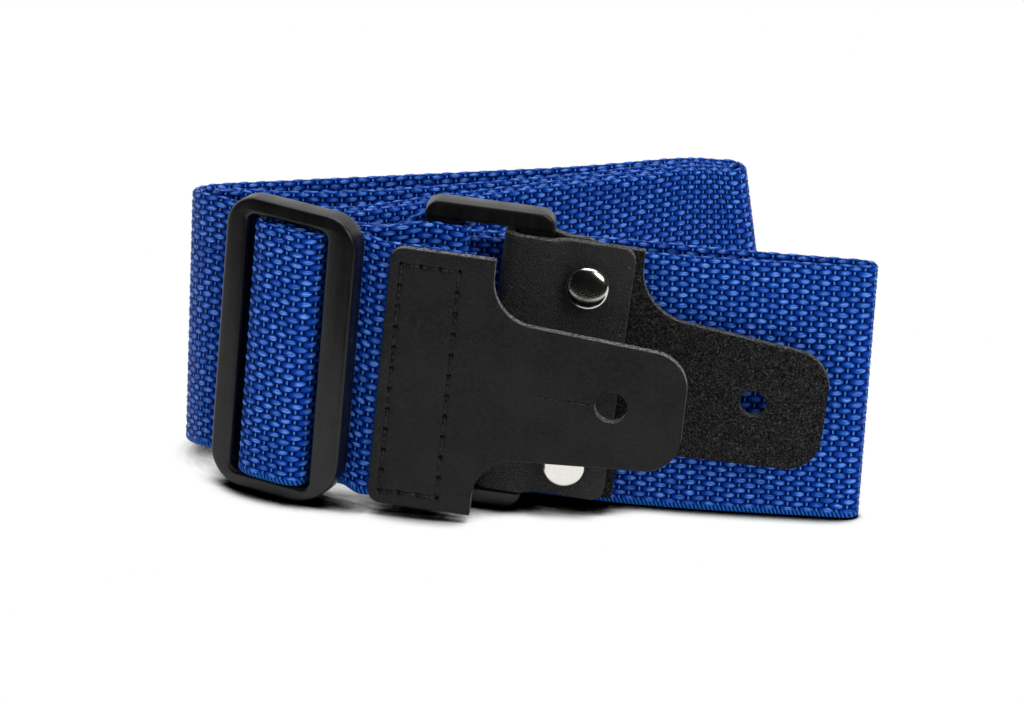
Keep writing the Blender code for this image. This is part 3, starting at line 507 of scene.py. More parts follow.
def lens_nodes(graph, along, around, offset):
    """The floats that weave_height makes, and what lies between them.

    The sockets are the floats' height and their painted glint, a highlight stronger towards one end of each
    float, the weft and the gap of painted shade round it, and a chance value.
    """
    column = graph.plus(graph.times(along, 0.5 / COLUMN), offset)
    row = graph.plus(graph.times(around, 1 / ROW), offset)
    x = graph.minus(graph.math("FRACT", column), 0.5)
    x = graph.times(x, 2 * COLUMN / FLOAT_HALF_LENGTH)
    taper = graph.minus(1.0, graph.times(x, x), clamp=True)
    y = graph.minus(graph.math("FRACT", row), 0.5)
    y = graph.times(y, ROW / FLOAT_HALF_WIDTH)
    width = graph.plus(taper, 0.0005)
    dome = graph.minus(1.0, graph.math("DIVIDE", graph.times(y, y), width), clamp=True)
    crown = graph.times(taper, dome)
    # painted highlight: the floats' crowns, stronger towards one end of each float
    glint = graph.times(crown, graph.between(x, -0.5, 0.6, 1.25, 0.55), clamp=True)
    middle_y = graph.minus(graph.math("FRACT", graph.plus(row, 0.5)), 0.5)

    def oval(half_length, half_width):
        across_x = graph.times(x, FLOAT_HALF_LENGTH / half_length)
        across_y = graph.times(middle_y, ROW / half_width)
        reach = graph.plus(graph.times(across_x, across_x), graph.times(across_y, across_y))
        return graph.minus(1.0, reach, clamp=True)

    weft = oval(WEFT_HALF_WIDTH, WEFT_HALF_LENGTH)
    # the spot of painted shade round the weft
    gap = oval(GAP_HALF_LENGTH, GAP_HALF_WIDTH)
    chance = graph.chance(graph.math("FLOOR", column), graph.math("FLOOR", row), offset)
    return graph.math("SQRT", crown), glint, weft, gap, chance


def webbing_material():
    """Royal blue yarn with loops at the lower edge, painted highlights on its uneven floats and bits of
    weft, and painted shade in its gaps.
    """
    graph = Graph("woven_webbing")
    places = graph.attribute("weave_mm")
    parts = graph.add("ShaderNodeSeparateXYZ")
    graph.plug(parts.inputs[0], places)
    along, around, edge = parts.outputs
    *even, even_chance = lens_nodes(graph, along, around, 0.0)
    *odd, odd_chance = lens_nodes(graph, along, around, 0.5)
    lens, glint, weft, gap = [graph.larger(a, b) for a, b in zip(even, odd)]
    first = graph.math("GREATER_THAN", even[0], odd[0])
    chance = graph.plus(graph.times(graph.minus(even_chance, odd_chance), first), odd_chance)
    fibres = graph.noise(graph.stretched(places, (0.6, 5.0, 1.0)), 1.0, 2.0, 0.6)
    # painted shade: darker towards the floats' ends and edges, darkest in the spots beside the weft
    body = graph.mix(graph.between(lens, 0.0, 0.8), PAINTED_SHADE_BLUE, BODY_BLUE)
    body = graph.mix(graph.between(gap, 0.1, 0.8), body, GAP_PAINTED_SHADE)
    # painted highlight on the floats' crowns, uneven from float to float
    painted_highlight = graph.mix(graph.between(fibres, 0.36, 0.62), CROWN_PAINTED_HIGHLIGHT, FIBRE_PAINTED_HIGHLIGHT)
    share = graph.times(graph.between(glint, 0.3, 0.95), graph.between(chance, 0.0, 1.0, 0.45, 1.1))
    colour = graph.mix(share, body, painted_highlight)
    # the weft ticks painted paler, as a highlight
    colour = graph.mix(graph.between(weft, 0.05, 0.6, 0.0, 0.9), colour, WEFT_PAINTED_HIGHLIGHT)
    leaning = graph.plus(along, graph.times(around, EDGE_LOOP_LEAN))
    loop = graph.math("ABSOLUTE", graph.math("SINE", graph.times(leaning, math.pi / EDGE_LOOP)))
    # the loops of the lower selvedge, with painted shade between them
    colour = graph.mix(edge, colour, graph.mix(graph.between(loop, 0.4, 1.0), PAINTED_SHADE_BLUE, LOOP_BLUE))
    height = graph.larger(lens, graph.times(weft, 0.6))
    height = graph.plus(graph.times(height, graph.minus(1.0, edge)), graph.times(loop, edge))
    relief = graph.bump(fibres, 0.4, 0.15 * MM, graph.bump(height, 0.5, 0.25 * MM))
    rough = graph.between(graph.times(height, fibres), 0.1, 0.5, 0.55, 0.3)
    return graph.finish(0.05, specular_tint=GLOSS_BLUE, base_color=colour, roughness=rough, normal=relief)


def leather_material(name, tones, grain, depth, gloss, shine):
    """Black leather between two tones, with a grain whose pebbles are this many mm wide."""
    graph = Graph(name)
    places = graph.attribute("local_mm")
    hollow = graph.attribute("hollow", "Fac")
    low, high = [(tone,) * 3 for tone in tones]
    pebbles = graph.cells(places, 1 / grain)
    fine = graph.noise(places, 0.9 / grain, 3.0, 0.65)
    clouds = graph.noise(places, 0.12, 3.0, 0.5)
    colour = graph.mix(graph.between(clouds, 0.3, 0.7), low, high)
    colour = graph.mix(graph.between(fine, 0.42, 0.7, 0.0, 0.5), colour, (2.0 * tones[1],) * 3)
    # painted shade: the needle holes are painted black
    colour = graph.mix(graph.between(hollow, 0.2, 0.7), colour, (0.0005,) * 3)
    height = graph.plus(graph.between(pebbles, 0.0, 0.3), graph.times(fine, 0.8))
    rough = graph.between(fine, 0.3, 0.7, gloss, gloss + 0.16)
    rough = graph.larger(rough, graph.between(hollow, 0.1, 0.5))
    relief = graph.bump(height, depth, 0.25 * MM)
    return graph.finish(shine, base_color=colour, roughness=rough, normal=relief)


def suede_material():
    """The napped side of the leather: matt, with paler fibres on it."""
    graph = Graph("suede")
    places = graph.attribute("local_mm")
    nap = graph.noise(places, 2.9, 2.0, 0.7)
    speckle = graph.noise(places, 3.4, 1.0, 0.6)
    colour = graph.mix(graph.between(nap, 0.36, 0.66), (0.002, 0.002, 0.0023), (0.02, 0.0202, 0.021))
    colour = graph.mix(graph.between(speckle, 0.58, 0.72, 0.0, 0.7), colour, (0.075, 0.076, 0.079))
    return graph.finish(0.08, base_color=colour, roughness=0.95, normal=graph.bump(nap, 0.9, 0.35 * MM))


def cut_edge_material(name, low, high):
    """The raw cut edge of the leather, with loose fibres."""
    graph = Graph(name)
    fibres = graph.noise(graph.attribute("local_mm"), 1.9, 3.0, 0.75)
    colour = graph.mix(graph.between(fibres, 0.36, 0.66), (low,) * 3, (high,) * 3)
    return graph.finish(0.1, base_color=colour, roughness=0.95, normal=graph.bump(fibres, 0.8, 0.35 * MM))


def plastic_material():
    """Moulded black plastic with a fine satin texture and a few rubbed spots."""
    graph = Graph("moulded_plastic")
    places = graph.attribute("local_mm")
    texture = graph.noise(places, 2.2, 3.0, 0.6)
    rubs = graph.noise(places, 0.3, 4.0, 0.6)
    flow = graph.noise(graph.stretched(places, (1.0, 1.0, 0.15)), 0.9, 3.0, 0.5)
    colour = graph.mix(graph.between(flow, 0.3, 0.7), (0.003, 0.003, 0.0034), (0.006, 0.006, 0.0065))
    rough = graph.between(rubs, 0.3, 0.75, 0.28, 0.4)
    return graph.finish(0.38, base_color=colour, roughness=rough, normal=graph.bump(texture, 0.2, 0.1 * MM))


def nickel_material():
    """Polished nickel plate with fine scratches and a few dull spots."""
    graph = Graph("nickel_plate")
    places = graph.attribute("local_mm")
    scratches = graph.noise(graph.stretched(places, (6.0, 1.0, 0.7)), 2.2, 3.0, 0.6)
    spots = graph.noise(places, 1.3, 3.0, 0.6)
    colour = graph.mix(graph.between(spots, 0.4, 0.75), (0.84, 0.82, 0.78), (0.8, 0.78, 0.74))
    rough = graph.between(scratches, 0.35, 0.75, 0.15, 0.2)
    return graph.finish(metallic=1.0, base_color=colour, roughness=rough)


def thread_material():
    """Twisted black sewing thread."""
    graph = Graph("sewing_thread")
    ply = graph.noise(graph.attribute("local_mm"), 2.4, 2.0, 0.6)
    colour = graph.mix(graph.between(ply, 0.35, 0.7), (0.002,) * 3, (0.03,) * 3)
    return graph.finish(0.15, base_color=colour, roughness=0.6, normal=graph.bump(ply, 0.5, 0.1 * MM))


WEBBING = webbing_material()
SMOOTH_LEATHER = leather_material("smooth_leather", (0.008, 0.0118), 0.45, 0.2, 0.48, 0.16)
GRAIN_LEATHER = leather_material("grain_leather", (0.007, 0.012), 0.42, 1.0, 0.36, 0.5)
SUEDE = suede_material()
PALE_EDGE = cut_edge_material("pale_cut_edge", 0.015, 0.22)
FLAP_EDGE = cut_edge_material("flap_cut_edge", 0.015, 0.14)
PLASTIC = plastic_material()
NICKEL = nickel_material()
BLACK_THREAD = thread_material()


# Routes of the webbing


def free(x, y, lift=0.0, up=UP):
    """A place on the route where nothing but the floor holds the webbing, in plan mm."""
    return plan(x, y) + Vector((0, 0, lift * MM + up.z * WEBBING_WIDTH / 2)), up.copy()


def held(matrix, x, y, z=0.0):
    """A place on the route that a frame holds, in metres of that frame."""
    return matrix @ Vector((x, y, z)), (matrix.to_3x3() @ UP).normalized()


def fold(centre, radius, start, end, lift=0.0, steps=6, up=UP):
    """A round turn of the route, with angles in degrees."""
    places = arc(centre, radius, start, end, abs(end - start) / steps)
    return [free(x, y, lift, up) for x, y in places]


def back_fold(strands):
    """The rear right fold of a strand that lies this many pitches from the middle of the four."""
    turn = math.degrees(BACK_FOLD_ANGLE)
    away = Vector((math.cos(BACK_FOLD_ANGLE), math.sin(BACK_FOLD_ANGLE), 0))
    up = UP * math.cos(BACK_FOLD_LEAN) - away * math.sin(BACK_FOLD_LEAN)
    return fold(BACK_FOLD, strands * STRAND_PITCH / MM, turn + 90, turn - 90, 0.5, 8, up)


def back_leg(strands, away):
    """A place on such a strand, this many mm before or after the fold."""
    across = strands * STRAND_PITCH / MM
    cos, sin = math.cos(BACK_FOLD_ANGLE), math.sin(BACK_FOLD_ANGLE)
    return free(BACK_FOLD[0] - away * cos - across * sin, BACK_FOLD[1] - away * sin + across * cos, 0.2)


def front_end():
    """Under the front tab, and out to the left of it."""
    places = [WEBBING_UNDER_TAB * i / 4 for i in (4, 3, 2, 1, 0)]
    return [held(FRONT_MATRIX, x, 0) for x in places] + [held(FRONT_MATRIX, -2.2 * MM, 0.3 * MM)]


def bridge_side():
    """The bridge from the back of a slot to the front of the middle bar, from its middle."""
    return [
        (BRIDGE_SIDE, SLIDER_THICKNESS / 2),
        (BRIDGE_SIDE, -0.1 * MM),
        (BRIDGE_SIDE - 0.7 * MM, LOOP_FRONT - 0.7 * MM + 0.5 * BRIDGE_PRESS),
        (BRIDGE_SIDE - 3.0 * MM, BRIDGE_FRONT + 0.1 * MM + BRIDGE_PRESS),
    ]


def right_pass():
    """Behind the slider's right bar and through its right slot, to the middle of the bridge."""
    behind_bar = (SLIDER_WIDTH / 2 - 1.0 * MM, PASS_RIGHT + SLIDER_RIGHT_BAR / 2, PASS_RIGHT)
    places = [(x, PASS_Y, 0.0) for x in behind_bar]
    places += [(BAR_X + x, y, -BRIDGE_SAG) for x, y in bridge_side()]
    places.append((BAR_X, BRIDGE_FRONT + BRIDGE_PRESS, -BRIDGE_SAG))
    return [held(SLIDER_MATRIX, *place) for place in places]


def left_pass():
    """From the bridge through the left slot and behind the left bar."""
    places = [(BAR_X - x, y, -BRIDGE_SAG) for x, y in reversed(bridge_side())]
    places += [(PASS_LEFT - away * MM, PASS_Y, 0.0) for away in (0, 4, 8.5)]
    return [held(SLIDER_MATRIX, *place) for place in places]


def outer_run():
    """Round the left fold and along the back."""
    return [
        free(-59.6, 17.0, 4.0),
        free(-61.2, 21.5, 3.2),
        free(-60.4, 27.0, 2.2),
        free(-56.8, 32.2, 1.2),
        free(-50.5, 36.4, 0.5),
        free(-41.0, 40.6, 0.15),
        free(-23.6, 46.6, 0.05),
        free(-6.0, 52.4, 0.05),
        free(10.0, 57.8, 0.05),
        back_leg(1.65, 14),
    ]


def outer_return():
    """Round the rear right fold and back towards the front."""
    return [
        *back_fold(1.62),
        back_leg(-1.65, 14),
        free(16.0, 50.6, 0.05),
        free(-1.0, 41.0, 0.05),
        free(-17.0, 31.6, 0.05),
        free(-29.0, 24.2, 0.05),
    ]


def slack_back():
    """Round the inner left fold and along the front, behind the ring."""
    return [
        *fold((-32.5, 19.6), 2.9, 135, 255, steps=5),
        free(-25.0, 16.3),
        free(-6.3, 15.4),
        free(8.0, 15.6),
        free(23.0, 14.6),
        free(36.0, 12.6),
        free(53.0, 11.0),
    ]


def slack_front():
    """Round the front right fold and back to the ring."""
    return [
        *fold(FRONT_FOLD, FRONT_FOLD_RADIUS, 90, -90, steps=8),
        free(52.0, 6.6),
        free(34.0, 7.0),
        free(21.0, 8.2),
        free(8.0, 10.4),
        free(-6.0, 12.2),
        free(-17.0, 12.6),
    ]


def ring_loop():
    """Round the ring's left bar and back."""
    matrix = RING_MATRIX @ Matrix.Translation((-RING_AXIS, 0, 0))
    bend = RING_EDGE + STRAND_GAP + WEBBING_THICKNESS / 2
    centre = (WRAP_X - bend, WRAP_Y - bend)
    around = arc(centre, bend, 90, 0, 15) + arc((centre[0], -centre[1]), bend, 0, -90, 15)
    return [
        free(-24.0, 12.5, 1.0),
        free(-26.4, 11.2, 1.5),
        free(-25.8, 9.4, 2.0),
        free(-23.2, 8.7, 2.5),
        held(matrix, -RING_SIDE_BAR / 2, WRAP_Y),
        *[held(matrix, x, y) for x, y in around],
        held(matrix, -RING_SIDE_BAR / 2, -WRAP_Y),
        free(-25.0, 2.6, 4.2),
        free(-29.0, 3.6, 3.8),
    ]


def inner_run():
    """From the ring round the inner left fold and along the back."""
    return [
        free(-35.0, 8.0, 3.0),
        free(-40.0, 13.6, 2.0),
        free(-41.6, 18.6, 1.2),
        free(-40.4, 22.8, 0.6),
        free(-36.0, 24.4, 0.2),
        free(-29.8, 26.8, 0.05),
        free(-18.2, 33.8, 0.05),
        free(-2.2, 43.2, 0.05),
        free(14.8, 52.8, 0.05),
        back_leg(-0.58, 14),
    ]


def inner_return():
    """Round the rear right fold and back to the left."""
    return [
        *reversed(back_fold(0.58)),
        back_leg(0.58, 14),
        free(8.0, 52.0, 0.05),
        free(-8.0, 44.8, 0.05),
        free(-23.2, 38.2, 0.05),
        free(-36.0, 33.8, 0.15),
        free(-46.0, 31.6, 0.4),
    ]


def inner_turn():
    """Round the inner left fold to the sewn end."""
    return [
        free(-53.2, 29.0, 1.4),
        free(-56.8, 25.0, 2.6),
        free(-57.0, 20.6, 3.6),
        held(SLIDER_MATRIX, SEWN_X - 3 * MM, INNER_Y + 0.6 * MM),
        held(SLIDER_MATRIX, SEWN_X, INNER_Y),
    ]


def anchor():
    """The sewn end, round the slider's middle bar and back on itself."""
    bend = MIDDLE_BAR_EDGE + SEAT_GAP + WEBBING_THICKNESS / 2
    side = LOOP_SIDE - bend
    back, front = LOOP_BACK - bend, LOOP_FRONT + LOOP_PRESS + bend
    places = [
        (BAR_X - BRIDGE_SIDE - 0.6 * MM, INNER_Y - 0.1 * MM),
        (BAR_X - BRIDGE_SIDE + 2.8 * MM, INNER_Y - 1.4 * MM),
        (BAR_X - BRIDGE_SIDE + 5.3 * MM, INNER_Y - 3.9 * MM),
        *arc((BAR_X + side, back), bend, 105, 0, 15),
        *arc((BAR_X + side, front), bend, 0, -90, 15),
        *arc((BAR_X - side, front), bend, -90, -180, 15),
        (BAR_X - LOOP_SIDE - 0.2 * MM, BAR_BACK - 0.3 * MM),
        (BAR_X - LOOP_SIDE - 0.65 * MM, PASS_Y - 0.1 * MM),
        (BAR_X - LOOP_SIDE - 1.65 * MM, SEWN_Y - 1.1 * MM),
        (BAR_X - BRIDGE_SIDE - 0.6 * MM, SEWN_Y - 0.05 * MM),
        (SEWN_X, SEWN_Y),
    ]
    return [held(SLIDER_MATRIX, x, y) for x, y in places]


# Each piece of the strip in order, with its body or bodies and the solids that it stands for
STRIP = (
    ("webbing_front_end", front_end, ("front_tab", "webbing"), ("webbing_tail",)),
    ("webbing_right_pass", right_pass, ("webbing", "slider"), ("webbing_lead", "webbing_bridge")),
    ("webbing_left_pass", left_pass, ("slider", "webbing"), ("webbing_bridge",)),
    ("webbing_outer_run_piece", outer_run, ("webbing",), ("webbing_outer_run",)),
    ("webbing_outer_return", outer_return, ("webbing",), ("webbing_outer_run",)),
    ("webbing_slack_back", slack_back, ("webbing",), ("webbing_slack_loop",)),
    ("webbing_slack_front", slack_front, ("webbing",), ("webbing_slack_loop",)),
    ("webbing_ring_loop_piece", ring_loop, ("webbing",), ("webbing_ring_loop",)),
    ("webbing_inner_run_piece", inner_run, ("webbing",), ("webbing_inner_run",)),
    ("webbing_inner_return", inner_return, ("webbing",), ("webbing_inner_run",)),
    ("webbing_inner_turn_piece", inner_turn, ("webbing", "slider"), ("webbing_inner_turn",)),
    ("webbing_anchor_piece", anchor, ("slider",), ("webbing_anchor",)),
)


def spot(matrix, x, y):
    """A point of a frame."""
    return held(matrix, x, y)[0]


# Where the pieces between two bodies start and end their bend
BLENDS = {
    "webbing_front_end": (spot(FRONT_MATRIX, 1.0 * MM, 0), spot(FRONT_MATRIX, -2.0 * MM, 0)),
    "webbing_right_pass": (spot(SLIDER_MATRIX, 15.3 * MM, PASS_Y), spot(SLIDER_MATRIX, 7.5 * MM, PASS_Y)),
    "webbing_left_pass": (spot(SLIDER_MATRIX, -8.2 * MM, PASS_Y), spot(SLIDER_MATRIX, -17.8 * MM, PASS_Y)),
    "webbing_inner_turn_piece": (free(-46.6, 31.5)[0], spot(SLIDER_MATRIX, SEWN_X, INNER_Y)),
}


def catmull_rom(values, knots, t):
    p0, p1, p2, p3 = values
    k0, k1, k2, k3 = knots
    a1 = p0 * ((k1 - t) / (k1 - k0)) + p1 * ((t - k0) / (k1 - k0))
    a2 = p1 * ((k2 - t) / (k2 - k1)) + p2 * ((t - k1) / (k2 - k1))
    a3 = p2 * ((k3 - t) / (k3 - k2)) + p3 * ((t - k2) / (k3 - k2))
    b1 = a1 * ((k2 - t) / (k2 - k0)) + a2 * ((t - k0) / (k2 - k0))
    b2 = a2 * ((k3 - t) / (k3 - k1)) + a3 * ((t - k1) / (k3 - k1))
    return b1 * ((k2 - t) / (k2 - k1)) + b2 * ((t - k1) / (k2 - k1))


def smooth_line(stations, samples):
    """Close points on a smooth curve from the first station to just before the last one."""
    stations = [2 * stations[0] - stations[1], *stations, 2 * stations[-1] - stations[-2]]
    fine = []
    for four in zip(stations, stations[1:], stations[2:], stations[3:]):
        knots = [0.0]
        for a, b in zip(four, four[1:]):
            knots.append(knots[-1] + math.sqrt(np.linalg.norm((b - a)[:3])))
        steps = [knots[1] + (knots[2] - knots[1]) * i / samples for i in range(samples)]
        fine += [catmull_rom(four, knots, t) for t in steps]
    return fine


def whole_strip(samples=24):
    """Close points of the strip with its width direction, and the point where each piece ends."""
    stations, ends = [], []
    for _, route, _, _ in STRIP:
        stations += [np.array([*place, *up]) for place, up in route()]
        ends.append((len(stations) - 1) * samples)
    return np.array([*smooth_line(stations, samples), stations[-1]]), ends


STRIP_LINE, STRIP_ENDS = whole_strip()
STRIP_RUN = np.concatenate([[0], np.cumsum(np.linalg.norm(np.diff(STRIP_LINE[:, :3], axis=0), axis=1))])

# Points of the webbing's mesh
STEP_ALONG = COLUMN / 4 * MM
AROUND_STEPS = 5 * ROWS
SLOPE_REACH = 0.2 * MM  # the strip's direction is taken this far before and after a place


def strip_at(places, columns):
    return np.stack([np.interp(places, STRIP_RUN, STRIP_LINE[:, k]) for k in columns], axis=1)


def strip_rings(first, last):
    """The run, middle, width direction and normal of the strip at steps from first to last."""
    at = np.arange(first, last + 1) * STEP_ALONG
    line = strip_at(at, range(6))
    ahead = strip_at(at + SLOPE_REACH, range(3)) - strip_at(at - SLOPE_REACH, range(3))
    up = line[:, 3:] / np.linalg.norm(line[:, 3:], axis=1)[:, None]
    normal = np.cross(ahead, up)
    return at, line[:, :3], up, normal / np.linalg.norm(normal, axis=1)[:, None]


def strip_section():
    """The way round the strip, from the lower selvedge up the front: arrays with one value to a point.

    They are the way in mm, the place across the strip in metres that the point stands out from, the
    direction in which it does, as parts along the normal and across, and the share of the edge loops.
    """
    way = (np.arange(AROUND_STEPS) + 0.5) * AROUND / AROUND_STEPS
    on_back = way > AROUND / 2
    rise = np.where(on_back, AROUND - way, way) - SELVEDGE / 2
    centre = np.clip(rise, 0, FACE_WIDTH) - FACE_WIDTH / 2
    turn = (np.clip(rise, None, 0) + np.clip(rise - FACE_WIDTH, 0, None)) / FLOAT_LEVEL
    outward = np.where(on_back, -1.0, 1.0) * np.cos(turn)
    away = np.minimum(way, AROUND - way)
    edge = np.clip((EDGE_REACH - away) / (EDGE_REACH - EDGE_CORE), 0, 1)
    return way, centre * MM, outward, np.sin(turn), edge * edge * (3 - 2 * edge)


def webbing_mesh(name, first, last):
    """A closed stretch of webbing with its weave and selvedges, from one step of the strip to another."""
    at, middle, up, normal = strip_rings(first, last)
    way, centre, outward, sideways, edge = strip_section()
    crowded = way - CROWDING * AROUND / (4 * math.pi) * np.sin(4 * math.pi * way / AROUND + math.pi)
    along = at[:, None] / MM
    # Slow waves, in mm, that keep the floats from lying in perfect columns and rows
    wander = 0.07 * np.sin(0.5 * way + 0.35 * along) + 0.05 * np.sin(1.1 * way - 0.23 * along)
    stray = 0.08 * np.sin(0.6 * along + 0.4 * way) + 0.06 * np.sin(1.3 * along - 1.1 * way)
    rows, columns = crowded + stray * (1 - edge), along + wander * (1 - edge)
    height = weave_height(columns, rows) * (1 - edge) + EDGE_HEIGHT * edge
    level = (GAP_LEVEL + (FLOAT_LEVEL - GAP_LEVEL) * height) * MM
    points = middle[:, None] + up[:, None] * (centre + level * sideways)[..., None]
    points += normal[:, None] * (level * outward)[..., None]
    index = np.arange(level.size).reshape(level.shape)
    index = np.concatenate([index, index[:, :1]], axis=1)
    near = np.arange(AROUND_STEPS // 2 - 1)
    far = AROUND_STEPS - 1 - near
    pairs = np.stack([near, near + 1, far - 1, far], axis=1)
    faces = [grid_faces(index)[:, [0, 3, 2, 1]], index[0][pairs[:, ::-1]], index[-1][pairs]]
    mesh = mesh_from_arrays(name, points.reshape(-1, 3), np.concatenate(faces))
    marks = np.stack([columns, rows, np.broadcast_to(edge, level.shape)], axis=2)
    store(mesh, "weave_mm", marks.reshape(-1, 3))
    return mesh


def add_webbing():
    """The whole strip, cut into pieces that each ride on one body or lie between two."""
    first = 0
    for (name, _, bodies, nodes), end in zip(STRIP, STRIP_ENDS):
        last = round(STRIP_RUN[end] / STEP_ALONG - 0.5 * (end == STRIP_ENDS[-1]))
        piece = new_object(name, webbing_mesh(name, first, last))
        piece.data.materials.append(WEBBING)
        if len(bodies) == 2:
            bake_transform(piece)
        else:
            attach(piece, *bodies)
        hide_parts(*nodes)
        first = last


# Slider


def bar_mesh():
    """The slider's middle bar, with rounded edges."""
    shape = bmesh.new()
    bmesh.ops.create_cube(shape, size=1.0)
    size = (MIDDLE_BAR_WIDTH, MIDDLE_BAR_THICKNESS, WINDOW_HEIGHT + SLIDER_END_BAR)
    bmesh.ops.scale(shape, vec=size, verts=shape.verts)
    bmesh.ops.translate(shape, vec=(BAR_X, (BAR_FRONT + BAR_BACK) / 2, 0), verts=shape.verts)
    rounding = {"offset": MIDDLE_BAR_EDGE, "segments": 4, "profile": 0.5, "affect": "EDGES"}
    bmesh.ops.bevel(shape, geom=shape.edges[:], **rounding)
    return mesh_from_shape("middle_bar", shape)


def finish_plastic(piece):
    piece.data.materials.clear()
    piece.data.materials.append(PLASTIC)
    smooth_by_angle(piece.data, PLASTIC_CREASE)
    keep_local_places(piece.data)


def add_slider():
    bars = (SLIDER_LEFT_BAR, SLIDER_RIGHT_BAR)
    outlines = frame_outlines(SLIDER_WIDTH, SLIDER_HEIGHT, *bars, SLIDER_WINDOW_CORNER, *SLIDER_CORNERS)
    thickness = SLIDER_THICKNESS + SLIDER_CROWN + SLIDER_BACK_CROWN
    middle = (SLIDER_BACK_CROWN - SLIDER_CROWN) / 2
    slider = new_object("slider_piece", plate_mesh("slider_frame", outlines, thickness, middle, SLIDER_EDGE))
    combine(slider, bar_mesh(), "UNION")
    finish_plastic(slider)
    place_piece(slider, SLIDER_MATRIX, "slider", "plastic", "slider")


# Ring


def end_bar_outline(side):
    half = RING_WIDTH / 2 + RING_END_PROUD
    top = RING_HEIGHT / 2 + RING_END_PROUD
    low = WINDOW_HEIGHT / 2 + RING_END_STEP
    points = [(-half, low), (half, low)]
    points += arc((half - RING_CORNER, top - RING_CORNER), RING_CORNER, 0, 90)
    points += arc((-half + RING_CORNER, top - RING_CORNER), RING_CORNER, 90, 180)
    return [(side * x, side * z) for x, z in points]


def add_ring():
    bars = (RING_SIDE_BAR, RING_SIDE_BAR)
    outlines = frame_outlines(RING_WIDTH, RING_HEIGHT, *bars, RING_WINDOW_CORNER, RING_CORNER)
    ring = new_object("ring_piece", plate_mesh("ring_sides", outlines, RING_SIDE_THICKNESS, edge=RING_EDGE))
    ends = bmesh.new()
    for side in (1, -1):
        ends.from_mesh(plate_mesh("ring_end", [end_bar_outline(side)], RING_END_THICKNESS, edge=RING_EDGE))
    combine(ring, mesh_from_shape("ring_ends", ends), "UNION")
    finish_plastic(ring)
    place_piece(ring, RING_MATRIX, "ring", "plastic", "ring")


# Leather tabs

EDGE_DISTANCES = (0.0, 0.08 * MM, 0.25 * MM)  # from a cut edge, where its rounding has points
EDGE_DROPS = (0.2 * MM, 0.08 * MM, 0.0)
FRONT_COLUMNS, REAR_COLUMNS = 165, 85  # points across the tabs' faces
FRONT_CUT, REAR_CUT = 3 * LEATHER_THICKNESS, 5 * LEATHER_THICKNESS  # how long the cutters of holes are
SLIT_WIDTH = 0.26 * MM
RIVET_DENT = 0.62 * RIVET_CAP  # how far from its middle a rivet dents the leather
LEAST_STEP = 0.02 * MM  # between rows of the rear tab


def corner_cut(over, radius):
    """How much a rounded corner takes off a side, at a place this far past its start."""
    over = max(0.0, over)
    return radius - math.sqrt(max(0.0, radius**2 - over**2))


def tongue_rows(head, length):
    """Rows of (x, half width, drop) along a tongue, with a hollow fillet and a rounded tip."""
    fillet_end, tip_start = head + SHOULDER_FILLET, length - TONGUE_CORNER
    root, tip = TONGUE_ROOT_WIDTH / 2, TONGUE_TIP_WIDTH / 2
    drops = dict(zip([length - d for d in EDGE_DISTANCES], EDGE_DROPS))
    places = [head + SHOULDER_FILLET * (1 - math.cos(math.radians(a))) for a in range(5, 91, 5)]
    places += list(np.linspace(fillet_end, tip_start, 34)[1:-1])
    places += [length - TONGUE_CORNER * (1 - math.sin(math.radians(a))) for a in range(0, 86, 5)]
    rows = []
    for x in sorted({*places, *drops}):
        share = min(1.0, max(0.0, (x - fillet_end) / (tip_start - fillet_end)))
        half = root + (tip - root) * share + corner_cut(fillet_end - x, SHOULDER_FILLET)
        rows.append((x, half - corner_cut(x - tip_start, TONGUE_CORNER), drops.get(x, 0.0)))
    return rows


def sheet_of_leather(name, rows, columns, relief):
    """A closed sheet of leather from rows of (place, side, half width, drop, run).

    Side is the direction of the outer face and drop is how far the faces are rounded off at a row.
    Relief gives how far the outer face stands out, from a row's run and an array of places across.
    """
    share = np.linspace(-1, 1, columns)
    outer, inner = [], []
    for place, side, half, drop, run in rows:
        across = share * (half - EDGE_DISTANCES[-1])
        low = [-half + d for d in EDGE_DISTANCES[:-1]]
        across = np.array([*low, *across, *[-z for z in reversed(low)]])
        drops = np.zeros(len(across))
        for i, fall in enumerate(EDGE_DROPS[:-1]):
            drops[[i, -1 - i]] = fall
        level = LEATHER_THICKNESS / 2 - np.maximum(drops, drop)
        base = np.array(place)[None] + np.outer(across, (0, 0, 1))
        outer.append(base + np.outer(level + relief(run, across), side))
        inner.append(base - np.outer(level, side))
    return leather_mesh(name, np.array(outer), np.array(inner))


def leather_mesh(name, outer, inner):
    """The mesh between two grids, with materials 0 outside, 1 inside and 2 on the cut edges."""
    rows, columns = outer.shape[:2]
    count = rows * columns
    index = np.arange(count).reshape(rows, columns)
    rim = np.concatenate([index[0, :-1], index[:-1, -1], index[-1, :0:-1], index[:0:-1, 0]])
    ahead = np.roll(rim, -1)
    wall = np.stack([rim, ahead, ahead + count, rim + count], axis=1)
    faces = [grid_faces(index), grid_faces(index + count)[:, ::-1], wall]
    points = np.concatenate([outer.reshape(-1, 3), inner.reshape(-1, 3)])
    mesh = mesh_from_arrays(name, points, np.concatenate(faces))
    kinds = np.repeat([0, 1, 2], [len(f) for f in faces]).astype(np.int32)
    mesh.polygons.foreach_set("material_index", kinds)
    face_outward(mesh)
    return mesh


def cut_hole(tab, outline, depth, middle_y, material):
    """Cuts a hole through all layers of a tab, from an outline of (x, z) points."""
    mesh = plate_mesh("hole", [outline], depth, middle_y)
    for _ in range(3):
        mesh.materials.append(material)
    mesh.polygons.foreach_set("material_index", np.full(len(mesh.polygons), 2, np.int32))
    combine(tab, mesh, "DIFFERENCE")


